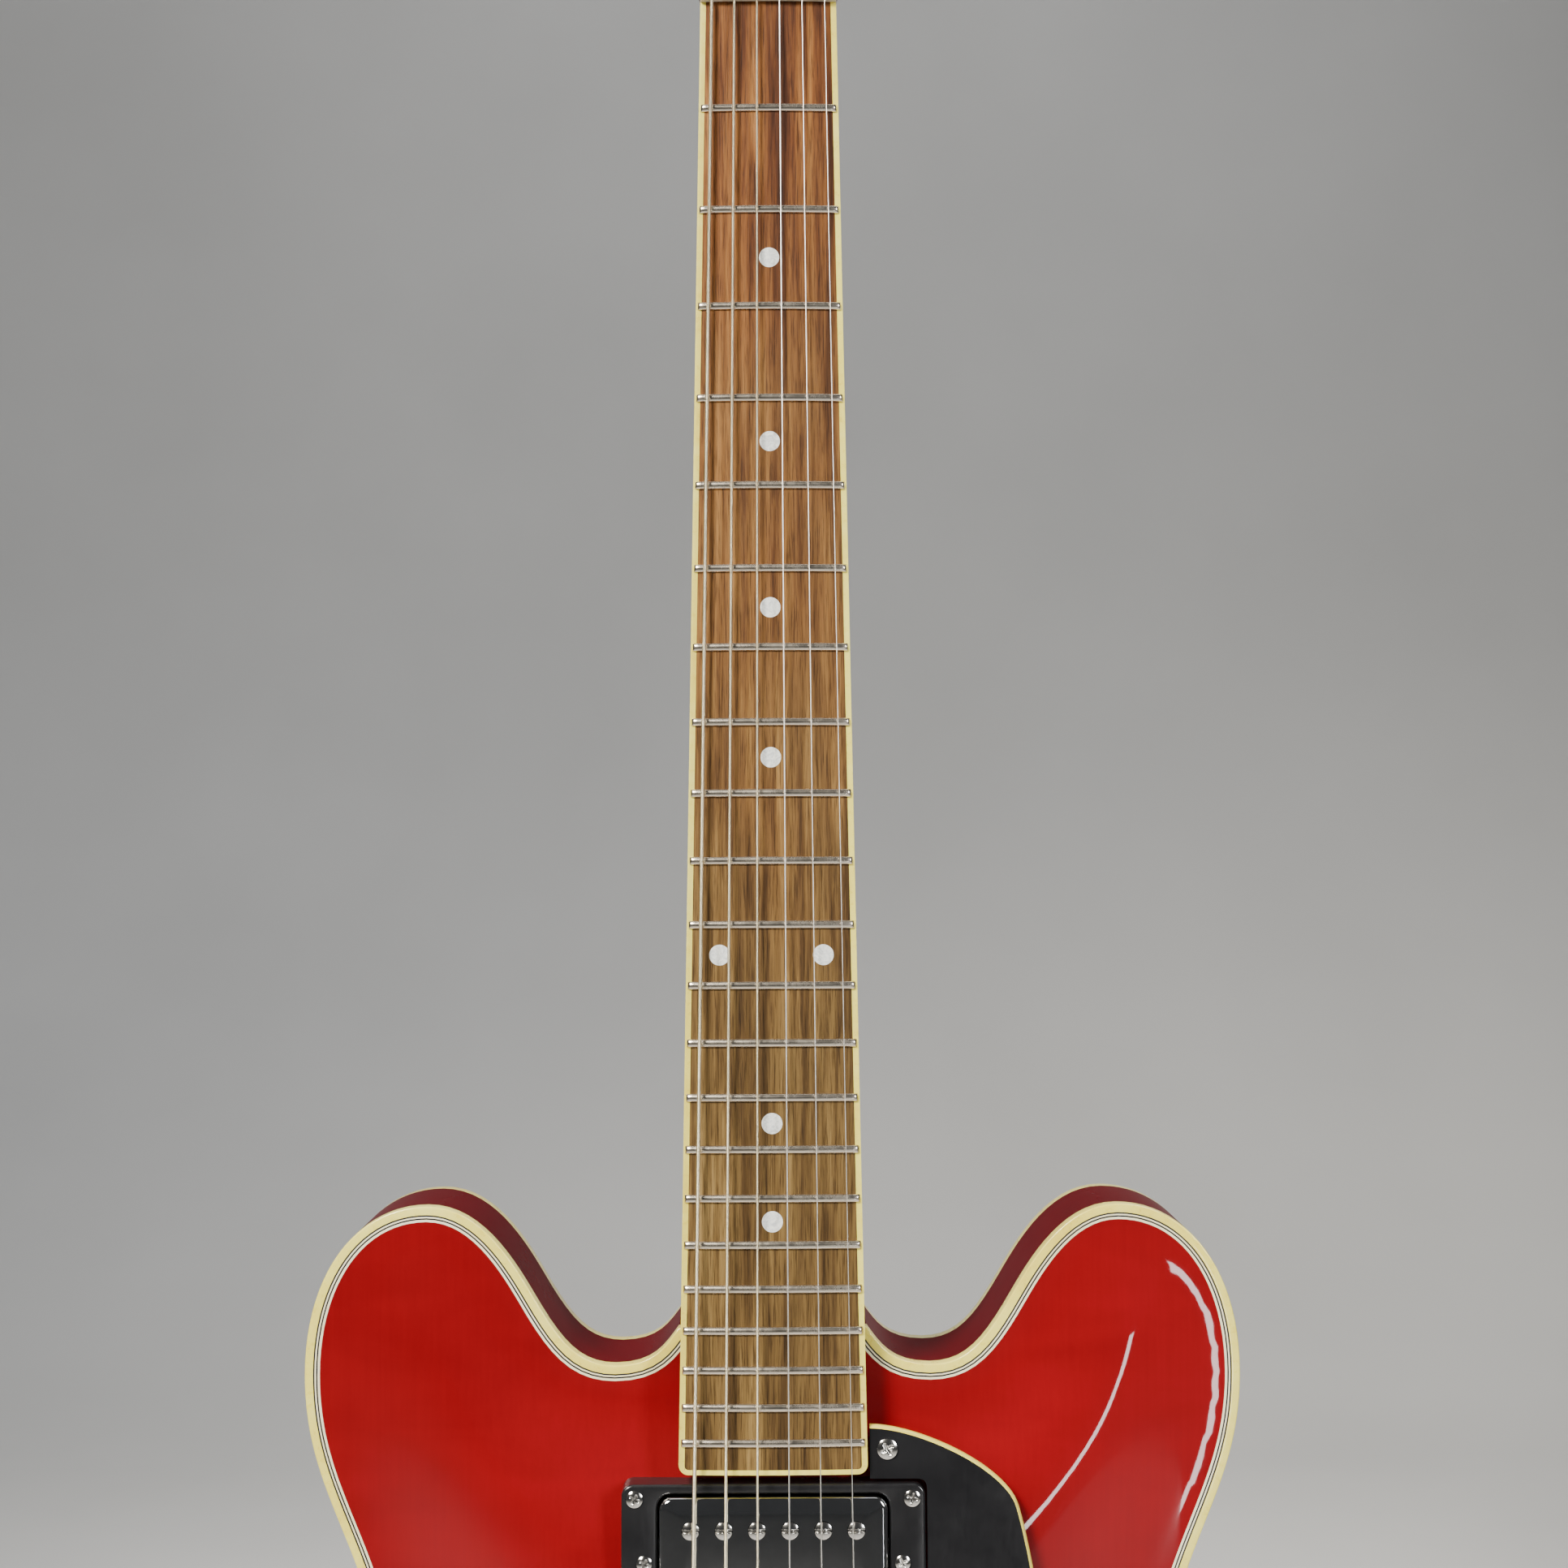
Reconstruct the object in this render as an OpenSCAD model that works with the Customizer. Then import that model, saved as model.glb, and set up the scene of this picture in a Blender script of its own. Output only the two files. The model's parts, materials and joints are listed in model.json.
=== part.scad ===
/* [Body] */
// Width across the lower bout
lower_bout_w = 406; // [400:1:412]
// Width across the waist
waist_w = 235; // [232:1:238]
// Width across the upper bout
upper_bout_w = 288; // [286:1:290]
// Depth of the body at its edge, over both plates
rim_depth = 44.4; // [44:0.1:45]
// Thickness of the laminated top and back plates
plate_t = 5; // [4.5:0.1:5]
// Rise of the arched top over its edge
top_rise = 11; // [10:0.25:11]
// Rise of the arched back over its edge
back_rise = 9; // [8:0.25:10]
// Thickness of the bent rim
rim_t = 4.5; // [4:0.1:5]
// Width of the solid centre block
block_w = 112; // [108:1:114]

/* [Neck] */
// Vibrating length of the strings
scale_l = 628.65; // [626:0.05:630]
// Number of frets
fret_count = 22; // [19:1:22]
// Angle of the neck to the body
neck_angle = 4.5; // [4.4:0.05:4.6]
// Angle of the headstock to the neck
head_angle = 17; // [16:0.5:18]
// Width of the fingerboard at the nut
nut_w = 43.5; // [43:0.1:44]
// Width that the fingerboard gains for each millimetre of its length
board_taper = 0.0297; // [0.028:0.0001:0.031]
// Thickness of the fingerboard at its centre
board_t = 6; // [6:0.1:6]
// Radius of the fingerboard's crowned face
board_r = 305; // [280:5:330]

/* [Strings] */
// Distance from the first to the last string at the nut
nut_spread = 36; // [35:0.25:36.5]
// Distance from the first to the last string at the bridge
saddle_spread = 51.5; // [51:0.25:52]

/* [Controls] */
// Outer radius of a control knob
knob_r = 12.7; // [12:0.1:13.2]
// Height of a control knob
knob_h = 14; // [13:0.5:16]

/* [Hidden] */
$fn = 48;

CHERRY = [0.66, 0.02, 0.02];
MAROON = [0.30, 0.02, 0.05];
CREAM = [0.96, 0.90, 0.66];
BLACK = [0.05, 0.05, 0.05];
ROSEWOOD = [0.36, 0.22, 0.14];
NICKEL = [0.80, 0.79, 0.76];
PEARL = [0.92, 0.92, 0.90];
MAPLE = [0.82, 0.68, 0.46];
COPPER = [0.72, 0.42, 0.25];

// Levels across the depth of the body: the front of the guitar faces -Y.
rim_front = -rim_depth / 2;
plate_back = rim_front + plate_t;
heel_z = 441;
heel_half_w = 29;

// The right half of the body's outline, from the end to the neck, as Bezier curves in (x, z).
lower_half = lower_bout_w / 2;
waist_half = waist_w / 2;
upper_half = upper_bout_w / 2;
lower_z = 120;
waist_z = 308;
upper_z = 427;
horn = [106.5, 478.5];
horn_inside = [73.8, 451];
cutaway = [48.5, 429.5];
outline_curves = [
    [[0, 0], [118, 0], [lower_half, 48], [lower_half, lower_z]],
    [[lower_half, lower_z], [lower_half, 190], [waist_half, 246], [waist_half, waist_z]],
    [[waist_half, waist_z], [waist_half, 371.5], [upper_half, 384.5], [upper_half, upper_z]],
    [[upper_half, upper_z], [upper_half, 457.2], [129, horn[1]], horn],
    [horn, [90.6, horn[1]], [80.5, 462.4], horn_inside],
    [horn_inside, [65.2, 436.2], [59.6, cutaway[1]], cutaway],
    [cutaway, [36.7, cutaway[1]], [33.2, 435.2], [heel_half_w, heel_z]]
];
outline_steps = [12, 10, 8, 6, 5, 5, 4];

function total(values) = [for (v = values) 1] * values;
function unit(v) = v / norm(v);
function bezier(p, t) =
    pow(1 - t, 3) * p[0] + 3 * pow(1 - t, 2) * t * p[1] + 3 * (1 - t) * t * t * p[2] + pow(t, 3) * p[3];
function curve(parts, steps) =
    [for (i = [0:len(parts) - 1]) for (k = [0:steps[i] - 1]) bezier(parts[i], k / steps[i])];
function flip_x(path) = [for (i = [len(path) - 1:-1:0]) [-path[i][0], path[i][1]]];
function tail(path) = [for (i = [1:len(path) - 1]) path[i]];

right_side = concat(curve(outline_curves, outline_steps), [[heel_half_w, heel_z]]);
outline = concat(right_side, flip_x(tail(right_side)));

// The path moved inwards by d, with mitred corners.
function inset(path, d) = [for (i = [0:len(path) - 1])
    let (n = len(path), b = path[i], u = unit(b - path[(i + n - 1) % n]), v = unit(path[(i + 1) % n] - b))
    let (edge_normal = [-u[1], u[0]], corner = unit([-u[1] - v[1], u[0] + v[0]]))
    b + corner * d / (corner * edge_normal)];

// Arching: a flat shelf round the edge, then a smooth rise that levels off towards the middle.
shelf_w = 6;
arch_reach = 74;
edge_share = [for (i = [0:len(outline) - 1])
    norm(outline[(i + 1) % len(outline)] - outline[(i + len(outline) - 1) % len(outline)]) / 2];
function edge_distance(p) = pow(2 / PI
    * total([for (i = [0:len(outline) - 1]) edge_share[i] / pow(norm(p - outline[i]), 4)]), -1 / 3);
function swell(d) = let (t = min(1, max(0, (d - shelf_w) / arch_reach))) t * t * (3 - 2 * t);
function arch(p) = swell(edge_distance(p));
function top_y(p) = rim_front - top_rise * arch(p);

// Rings of points over a plate, from its hub out to its shelf.
hub = [0, 250];
ring_shares = [0.35, 0.55, 0.68, 0.8, 0.9];
shelf_inset = 12;
shelf_ring = inset(outline, shelf_inset);
function plate_ring(share) = [for (p = shelf_ring) hub + (p - hub) * share];
plate_arches = [for (share = ring_shares) [for (p = plate_ring(share)) arch(p)]];
function arched_ring(i, y, rise) = let (ring = plate_ring(ring_shares[i]))
    [for (k = [0:len(ring) - 1]) [ring[k][0], y - rise * plate_arches[i][k], ring[k][1]]];
function flat_ring(path, y) = [for (p = path) [p[0], y, p[1]]];
function shelf_level(y, rise) = flat_ring(shelf_ring, y - rise * swell(shelf_inset));

// Neck and headstock coordinates: x across, y back from the board's face, w or v along the length.
saddle_z = 233;
board_l = 461.7;
board_lift = 14.5;
board_y0 = rim_front - board_lift + (board_l - scale_l) * sin(neck_angle);
nut_t = 4.75;
head_y0 = 1;
head_w0 = scale_l + nut_t;
head_t = 14.5;
veneer_t = 1.5;
function neck_point(x, y, w) = [x, board_y0 + y * cos(neck_angle) + w * sin(neck_angle),
    saddle_z - y * sin(neck_angle) + w * cos(neck_angle)];
function head_point(x, y, v) = neck_point(x, head_y0 + y * cos(head_angle) + v * sin(head_angle),
    head_w0 - y * sin(head_angle) + v * cos(head_angle));
function fret_w(n) = scale_l * pow(2, -n / 12);
function board_half(w) = (nut_w + board_taper * (scale_l - w)) / 2;
board_binding_w = 1.8;
board_end_binding = 1.5;
board_end_w = scale_l - board_l;

// Neck set into the body.
tongue_half = 27.6;
tenon_half = 19;
tenon_back = 12;
pocket_end_z = 399;

// Strings, from the thickest to the thinnest.
string_r = [0.584, 0.457, 0.33, 0.216, 0.165, 0.127];
string_rise_saddle = 4;
string_rise_nut = 1.7;
saddle_shift = [-4, -3, -2, -3.5, -2, -0.5];
tail_z = 191;
tail_string_y = -42;
tail_hole_r = 1.4;
function string_x(i, spread) = (i - 2.5) * spread / 5;
function crown_drop(x) = x * x / (2 * board_r);
function saddle_point(i) = let (x = string_x(i, saddle_spread))
    neck_point(x, crown_drop(x) - string_rise_saddle - string_r[i], saddle_shift[i]);
function nut_point(i) = let (x = string_x(i, nut_spread))
    neck_point(x, crown_drop(x) - string_rise_nut - string_r[i], scale_l + nut_t / 2);

// Tuners: three a side, counted from the thickest string round to the thinnest.
tuner_v = [48, 87, 126];
tuner_x = [24.5, 26.5, 28.5];
post_r = 3.2;
wrap_r = 2.9;
post_front = -14;
wrap_start_y = -7.4;
wrap_turns = 2;
wrap_gap = 0.35;
gear_teeth = 14;
worm_pitch = 2.2;
worm_wave = 0.55;
worm_r = 2;
worm_y = 19;
worm_l = 8.8;
mesh_gap = 0.35;
gear_r = gear_teeth * worm_pitch / (2 * PI);
worm_drop = gear_r + worm_r + mesh_gap;
key_shaft_r = 2;
housing_half = 8;
housing_depth = 9.5;
function tuner_side(i) = i < 3 ? -1 : 1;
function tuner_row(i) = i < 3 ? i : 5 - i;
function tuner_at(i) = [tuner_side(i) * tuner_x[tuner_row(i)], tuner_v[tuner_row(i)]];

// Pickups: centre heights on the body and the level of each cover's face.
pickup_z = [373.2, 264];
pickup_face_y = [-38.6, -47.2];
pickup_tilt = 4.3;
cover_w = 69;
cover_h = 39.6;
cover_depth = 14.2;
cover_corner = 4;
ring_w = 92;
ring_h = 46.6;
ring_drop = 2.2;
ring_screw_x = 42;
ring_screw_z = 19;
height_screw_x = 39;
pole_offset = 10;
pole_pitch = 10;
pole_side = [1, -1];

// Controls, placed on the arched top and square to it.
knob_at = [[92, 152], [143, 132], [72, 100], [123, 78]];
toggle_at = [139, 182];
jack_at = [97, 43];
probe = 2;
function slope_x(p) = (top_y(p + [probe, 0]) - top_y(p - [probe, 0])) / (2 * probe);
function slope_z(p) = (top_y(p + [0, probe]) - top_y(p - [0, probe])) / (2 * probe);

/* ---- Shared shapes ---- */

// A flat shape drawn in (x, z), given depth from y_front back to y_back.
module slab(y_front, y_back) {
    translate([0, y_back, 0]) rotate([90, 0, 0]) linear_extrude(y_back - y_front) children();
}

// A cylinder along Y from y_front back to y_back, at (x, z).
module pin_y(x, z, y_front, y_back, r) {
    translate([x, y_back, z]) rotate([90, 0, 0]) cylinder(r = r, h = y_back - y_front);
}

module box(low, high) {
    translate(low) cube(high - low);
}

module neck_frame() {
    translate([0, board_y0, saddle_z]) rotate([-neck_angle, 0, 0]) children();
}

module head_frame() {
    neck_frame() translate([0, head_y0, head_w0]) rotate([-head_angle, 0, 0]) children();
}

// The frame of a control: its origin on the top, its -Y pointing square out of the top.
module control_frame(p) {
    translate([p[0], top_y(p), p[1]]) 
        rotate([-atan(slope_z(p) * cos(atan(slope_x(p)))), 0, atan(slope_x(p))]) children();
}

// A closed solid through equal rings of points, with a fan at each end.
module ring_solid(rings) {
    n = len(rings[0]);
    m = len(rings);
    points = concat([for (ring = rings) each ring], [total(rings[0]) / n, total(rings[m - 1]) / n]);
    polyhedron(points, concat(
        [for (i = [0:m - 2]) for (k = [0:n - 1]) [i * n + k, (i + 1) * n + k, (i + 1) * n + (k + 1) % n]],
        [for (i = [0:m - 2]) for (k = [0:n - 1]) [i * n + k, (i + 1) * n + (k + 1) % n, i * n + (k + 1) % n]],
        [for (k = [0:n - 1]) [m * n, k, (k + 1) % n]],
        [for (k = [0:n - 1]) [m * n + 1, (m - 1) * n + (k + 1) % n, (m - 1) * n + k]]), convexity = 8);
}

// A tube of radius r along a path; ref is a direction that the path never follows.
function along(path, i) = unit(path[min(i + 1, len(path) - 1)] - path[max(i - 1, 0)]);
function tube_ring(path, i, r, sides, ref) =
    let (t = along(path, i), u = unit(cross(t, ref)), v = cross(t, u))
    [for (k = [0:sides - 1]) path[i] + r * (cos(360 * k / sides) * u + sin(360 * k / sides) * v)];
module tube(path, r, sides = 8, ref = [0, 1, 0]) {
    ring_solid([for (i = [0:len(path) - 1]) tube_ring(path, i, r, sides, ref)]);
}

// A cylinder of radius r from point a to point b.
module rod(a, b, r) {
    d = b - a;
    translate(a) rotate([0, acos(d[2] / norm(d)), atan2(d[1], d[0])]) cylinder(r = r, h = norm(d));
}

module rounded(w, h, r) {
    square([w - 2 * r, h], center = true);
    square([w, h - 2 * r], center = true);
    for (x = [-1, 1], y = [-1, 1]) translate([x * (w / 2 - r), y * (h / 2 - r)]) circle(r);
}

// A cross-head screw along Y: a domed head that stands in front of y = 0, and a shank behind it.
module cross_screw(head_r, head_h, shank_r, shank_l) {
    difference() {
        intersection() {
            translate([0, head_h * 1.6, 0]) sphere(head_h * 2.6);
            pin_y(0, 0, -head_h, 0, head_r);
        }
        for (turn = [45, 135]) rotate([0, turn, 0])
            box([-head_r * 0.6, -head_h * 1.2, -head_r * 0.11], [head_r * 0.6, -head_h * 0.35, head_r * 0.11]);
    }
    pin_y(0, 0, 0, shank_l, shank_r);
}

/* ---- Body ---- */

module neck_pocket() {
    box([-tongue_half, -80, pocket_end_z], [tongue_half, plate_back, heel_z + 10]);
    box([-tenon_half, plate_back - 1, pocket_end_z], [tenon_half, tenon_back, heel_z + 10]);
}

pickup_rout_w = 74;
pickup_rout_h = 42.5;
pickup_rout_back = -12;
module pickup_routs() {
    for (z = pickup_z) {
        translate([0, 0, z]) slab(-60, pickup_rout_back) {
            square([pickup_rout_w, pickup_rout_h], center = true);
            square([88, 14], center = true);
        }
    }
}

bridge_post_x = 37;
tail_stud_x = 41.3;
insert_r = 5.5;
bridge_insert_r = 3.2;
module hardware_holes() {
    for (x = [-1, 1]) {
        pin_y(x * bridge_post_x, saddle_z, -60, 0, bridge_insert_r + 0.1);
        pin_y(x * tail_stud_x, tail_z, -60, 4, insert_r + 0.1);
    }
}

// An f-hole: a tapered stem between two round eyes.
hole_top = [80, 306];
hole_low = [104, 184];
stem_curve = [[82, 310.5], [104, 318], [80, 172], [102, 179.5]];
stem_steps = 12;
function stem_half(t) = 1.5 + 3.9 * pow(sin(180 * t), 1.3);
function stem_edge(side) = [for (k = [0:stem_steps])
    let (t = k / stem_steps, d = unit(bezier(stem_curve, min(1, t + 0.01)) - bezier(stem_curve, max(0, t - 0.01))))
    bezier(stem_curve, t) + side * stem_half(t) * [-d[1], d[0]]];
module f_hole_shape() {
    low_edge = stem_edge(1);
    polygon(concat(stem_edge(-1), [for (k = [stem_steps:-1:0]) low_edge[k]]));
    translate(hole_top) circle(6, $fn = 24);
    translate(hole_low) circle(7, $fn = 24);
}

collar_r = 4.7;
hole_gap = 0.1;
module control_holes() {
    for (p = concat(knob_at, [jack_at])) control_frame(p) pin_y(0, 0, -20, 20, collar_r + hole_gap);
    control_frame(toggle_at) pin_y(0, 0, -20, 20, 6);
}

purfling_w = 2.1;
purfling_t = 1.5;
front_binding_w = 2.6;
back_binding_w = 1.3;
front_edge_w = front_binding_w + purfling_w;
inner_rings = [0, 2, 4];

function plate_face(y, rise) = [for (i = [0:len(ring_shares) - 1]) arched_ring(i, y, rise)];
function plate_inside(y, rise) = [for (i = inner_rings) arched_ring(i, y, rise)];
function reversed(list) = [for (i = [len(list) - 1:-1:0]) list[i]];

// A plate, lying as the top: face rings out to the edge, the edge's steps, and back along the inside.
module plate(rise, edge) {
    ring_solid(concat(plate_face(rim_front, rise), [shelf_level(rim_front, rise)], edge,
        [shelf_level(plate_back, rise)], reversed(plate_inside(plate_back, rise))));
}

// resize() with no size given leaves the shape as it is, and makes one mesh of it.
plate_fn = 20;
module top_plate() color(CHERRY) {
    resize([0, 0, 0]) difference() {
        plate(top_rise, [
            flat_ring(inset(outline, front_edge_w), rim_front),
            flat_ring(inset(outline, front_edge_w), rim_front + purfling_t),
            flat_ring(inset(outline, front_binding_w), rim_front + purfling_t),
            flat_ring(inset(outline, front_binding_w), plate_back)]);
        neck_pocket();
        pickup_routs();
        hardware_holes($fn = plate_fn);
        control_holes($fn = plate_fn);
        for (flip = [0, 1]) mirror([flip, 0, 0]) slab(-60, 0) f_hole_shape();
    }
}

module back_plate() color(CHERRY) {
    mirror([0, 1, 0]) plate(back_rise, [
        flat_ring(inset(outline, back_binding_w), rim_front),
        flat_ring(inset(outline, back_binding_w), plate_back)]);
}

// A closed band that follows the outline, from the inset `outer` to the inset `inner`.
module band(outer, inner, y_front, y_back) {
    slab(y_front, y_back) difference() {
        polygon(inset(outline, outer));
        polygon(inset(outline, inner));
    }
}

strap_screw_r = 2;
heel_button_z = 424;
heel_button_y = -rim_front + back_rise * arch([0, heel_button_z]) + 0.1;
module rim() color(MAROON) {
    difference() {
        band(0, rim_t, plate_back, -plate_back);
        neck_pocket();
        translate([0, 0, -1]) cylinder(r = strap_screw_r, h = rim_t + 2);
    }
}

block_end = 5;
block_top_z = 436;
block_steps = 24;
wire_y = -10;
glue_gap = 1.8;
rim_gap = 0.3;
// How far the arch rises at height z over the whole width of the block.
function block_arch(z) = min(arch([0, z]), arch([block_w / 4, z]), arch([block_w / 2, z]));
module block_half(rise) {
    translate([-block_w / 2, 0, 0]) rotate([90, 0, 90]) linear_extrude(block_w) polygon(concat(
        [[0, block_top_z], [0, block_end]],
        [for (k = [0:block_steps]) let (z = block_end + (block_top_z - block_end) * k / block_steps)
            [min(plate_back, plate_back + glue_gap - rise * block_arch(z)), z]]));
}
module center_block() color(MAPLE) {
    difference() {
        intersection() {
            union() {
                block_half(top_rise);
                mirror([0, 1, 0]) block_half(back_rise);
            }
            slab(-50, 50) intersection() {
                polygon(inset(outline, rim_t + rim_gap));
                translate([-block_w / 2, 0]) square([block_w, heel_z]);
            }
        }
        neck_pocket();
        pickup_routs();
        hardware_holes();
        cylinder(r = strap_screw_r, h = 40);
        for (z = pickup_z) translate([0, wire_y, z]) rotate([0, 90, 0]) cylinder(r = 4, h = 60);
        translate([0, heel_button_y + 1, heel_button_z]) rotate([90, 0, 0]) cylinder(r = strap_screw_r, h = 24);
    }
}

lining_w = 6;
lining_t = 9;
module linings() color(MAPLE) {
    for (flip = [0, 1]) mirror([0, flip, 0]) difference() {
        band(rim_t, rim_t + lining_w, plate_back, plate_back + lining_t);
        box([-block_w / 2, -30, -5], [block_w / 2, 30, 500]);
    }
}

module top_binding() color(CREAM) {
    difference() {
        band(0, front_binding_w, rim_front, plate_back);
        neck_pocket();
    }
}

// Two black lines and two cream lines inside the binding, each a separate strip.
purfling_edges = [0, 0.35, 0.85, 1.2, purfling_w];
purfling_gap = 0.02;
module top_purfling() {
    for (i = [0:len(purfling_edges) - 2]) color(i % 2 == 0 ? BLACK : CREAM) difference() {
        band(front_binding_w + purfling_edges[i], front_binding_w + purfling_edges[i + 1] - purfling_gap,
            rim_front, rim_front + purfling_t);
        neck_pocket();
    }
}

module back_binding() color(CREAM) {
    band(0, back_binding_w, -plate_back, -rim_front);
}

/* ---- Neck ---- */

// Sections along the neck: place, half width, front, back and squareness.
neck_end_w = 196;
neck_sections = [
    [660, 23, 13, 21.8, 2.2],
    [646, 22.4, 9, 21.6, 2.2],
    [head_w0, board_half(scale_l), board_t, 21.2, 2.2],
    [fret_w(1), board_half(fret_w(1)), board_t, 21.2, 2.2],
    [fret_w(12), board_half(fret_w(12)), board_t, 24, 2.2],
    [264, board_half(264), board_t, 24.8, 2.25],
    [250, board_half(250), board_t, 26.2, 2.4],
    [239, board_half(239), board_t, 29.4, 2.6],
    [230, board_half(230), board_t, 34.6, 2.8],
    [222, board_half(222), board_t, 41, 3],
    [215, board_half(215), board_t, 47.4, 3.1],
    [209, board_half(209), board_t, 52.4, 3.2],
    [neck_end_w, board_half(neck_end_w), board_t, 54, 3.2]
];
section_steps = 16;
function squircle(v, power) = sign(v) * pow(abs(v), 2 / power);
function neck_section(s) = [for (k = [0:section_steps])
    let (a = 180 * k / section_steps)
    neck_point(s[1] * squircle(cos(a), s[4]), s[2] + (s[3] - s[2]) * squircle(sin(a), s[4]), s[0])];

head_curves = [
    [[21.8, 0], [21.8, 14], [33.5, 18], [36, 38]],
    [[36, 38], [37.5, 62], [39, 118], [41, 152]],
    [[41, 152], [42.5, 172], [24, 180], [0, 180]]
];
head_steps = [8, 6, 12];
head_right = curve(head_curves, head_steps);
module head_shape() {
    polygon(concat(head_right, [[0, head_curves[2][3][1]]], flip_x(head_right)));
}

rod_y = 11.5;
rod_r = 2.4;
rod_channel_half = 3;
rod_start_w = 214;
rod_nut_v = 9;
module truss_channel() {
    neck_frame() box([-rod_channel_half, board_t - 1, rod_start_w - 4],
        [rod_channel_half, rod_y + rod_channel_half, head_w0 + 18]);
    head_frame() box([-5.5, -1, 5], [5.5, 12, 27]);
}

module nut_seat() {
    neck_frame() box([-30, -10, scale_l - 40], [30, board_t, head_w0]);
}

bushing_r = 4.5;
module tuner_holes() {
    head_frame() for (i = [0:5]) let (p = tuner_at(i)) {
        pin_y(p[0], p[1], -1, head_t + 1, bushing_r);
        for (side = [-1, 1]) pin_y(p[0] + side * 6, p[1] + 10.4, head_t - 8, head_t + 1, 0.9);
    }
}

module neck() color(MAROON) {
    difference() {
        union() {
            difference() {
                ring_solid([for (s = reversed(neck_sections)) neck_section(s)]);
                box([-100, -100, 300], [100, 100, heel_z]);
            }
            intersection() {
                neck_frame() box([-tongue_half, board_t, board_end_w - 1], [tongue_half, 90, neck_end_w + 30]);
                union() {
                    box([-tongue_half, -60, pocket_end_z], [tongue_half, plate_back, heel_z + 6]);
                    box([-tenon_half, -60, pocket_end_z], [tenon_half, tenon_back, heel_z + 6]);
                }
            }
            head_frame() slab(veneer_t, head_t) head_shape();
        }
        nut_seat();
        truss_channel();
        tuner_holes();
    }
}

module headstock_veneer() color(BLACK) {
    difference() {
        head_frame() slab(0, veneer_t) head_shape();
        nut_seat();
        truss_channel();
        tuner_holes();
    }
}

module truss_rod() color(NICKEL) {
    neck_frame() {
        translate([0, rod_y, rod_start_w]) cylinder(r = rod_r, h = head_w0 + 12 - rod_start_w);
        translate([0, rod_y, head_w0 + 12]) difference() {
            cylinder(r = 4, h = 9, $fn = 6);
            translate([0, 0, 5]) cylinder(r = 2.2, h = 5, $fn = 6);
        }
    }
}

cover_curves = [
    [[0, 3], [9, 3], [13.5, 4], [13.5, 9]],
    [[13.5, 9], [13.5, 18], [6.5, 17], [6.5, 28]],
    [[6.5, 28], [6.5, 34], [4, 38], [0, 38]]
];
cover_right = concat(curve(cover_curves, [6, 8, 6]), [[0, 38]]);
truss_screw_at = [[-9.5, 8], [9.5, 8], [0, 33.5]];
truss_cover_t = 2;
module truss_rod_cover() color(BLACK) {
    head_frame() difference() {
        slab(-truss_cover_t, 0) polygon(concat(cover_right, flip_x(tail(cover_right))));
        for (p = truss_screw_at) pin_y(p[0], p[1], -5, 5, 1);
    }
}

/* ---- Fingerboard ---- */

module board_crown(r) {
    translate([0, board_r, 0]) cylinder(r = r, h = 1400, center = true, $fn = 720);
}

// The fingerboard's outline, narrowed by `side` at each edge and shortened by `end`.
module board_shape(side, end) {
    half_end = board_half(board_end_w) - side;
    half_nut = board_half(scale_l) - side;
    polygon([[-half_end, board_end_w + end], [half_end, board_end_w + end],
        [half_nut, scale_l], [-half_nut, scale_l]]);
}

dot_r = 3.2;
dot_t = 1.4;
single_dots = [3, 5, 7, 9, 15, 17];
double_dot = 12;
double_dot_x = 16;
function between_frets(n) = (fret_w(n) + fret_w(n - 1)) / 2;
side_dot_y = 3.4;
side_dot_r = 1;
module dots(r, y_front, y_back, $fn = 120) {
    for (n = single_dots) pin_y(0, between_frets(n), y_front, y_back, r);
    for (x = [-1, 1]) pin_y(x * double_dot_x, between_frets(double_dot), y_front, y_back, r);
}
module side_dots($fn = 120) {
    for (n = single_dots) translate([-board_half(between_frets(n)), side_dot_y, between_frets(n)])
        rotate([0, 90, 0]) cylinder(r = side_dot_r, h = 1.2);
    for (shift = [-3.5, 3.5])
        translate([-board_half(between_frets(double_dot)), side_dot_y, between_frets(double_dot) + shift])
            rotate([0, 90, 0]) cylinder(r = side_dot_r, h = 1.2);
}

fret_slot_w = 0.6;
fret_tang = 1.8;
module fingerboard() color(ROSEWOOD) {
    neck_frame() difference() {
        intersection() {
            slab(-2, board_t) board_shape(board_binding_w, board_end_binding);
            board_crown(board_r);
        }
        dots(dot_r, -2, dot_t);
        for (n = [1:fret_count])
            box([-40, -2, fret_w(n) - fret_slot_w / 2], [40, fret_tang + 1.4, fret_w(n) + fret_slot_w / 2]);
    }
}

board_corner = 3;
module fingerboard_binding() color(CREAM) {
    neck_frame() difference() {
        intersection() {
            slab(-2, board_t) difference() {
                intersection() {
                    offset(r = board_corner) offset(delta = -board_corner) board_shape(0, 0);
                    translate([-50, 0]) square([100, scale_l - 6]);
                }
                board_shape(board_binding_w, board_end_binding);
            }
            board_crown(board_r);
        }
        side_dots();
    }
    neck_frame() intersection() {
        slab(-2, board_t) difference() {
            intersection() {
                board_shape(0, 0);
                translate([-50, scale_l - 6]) square([100, 6]);
            }
            board_shape(board_binding_w, board_end_binding);
        }
        board_crown(board_r);
    }
}

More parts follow.
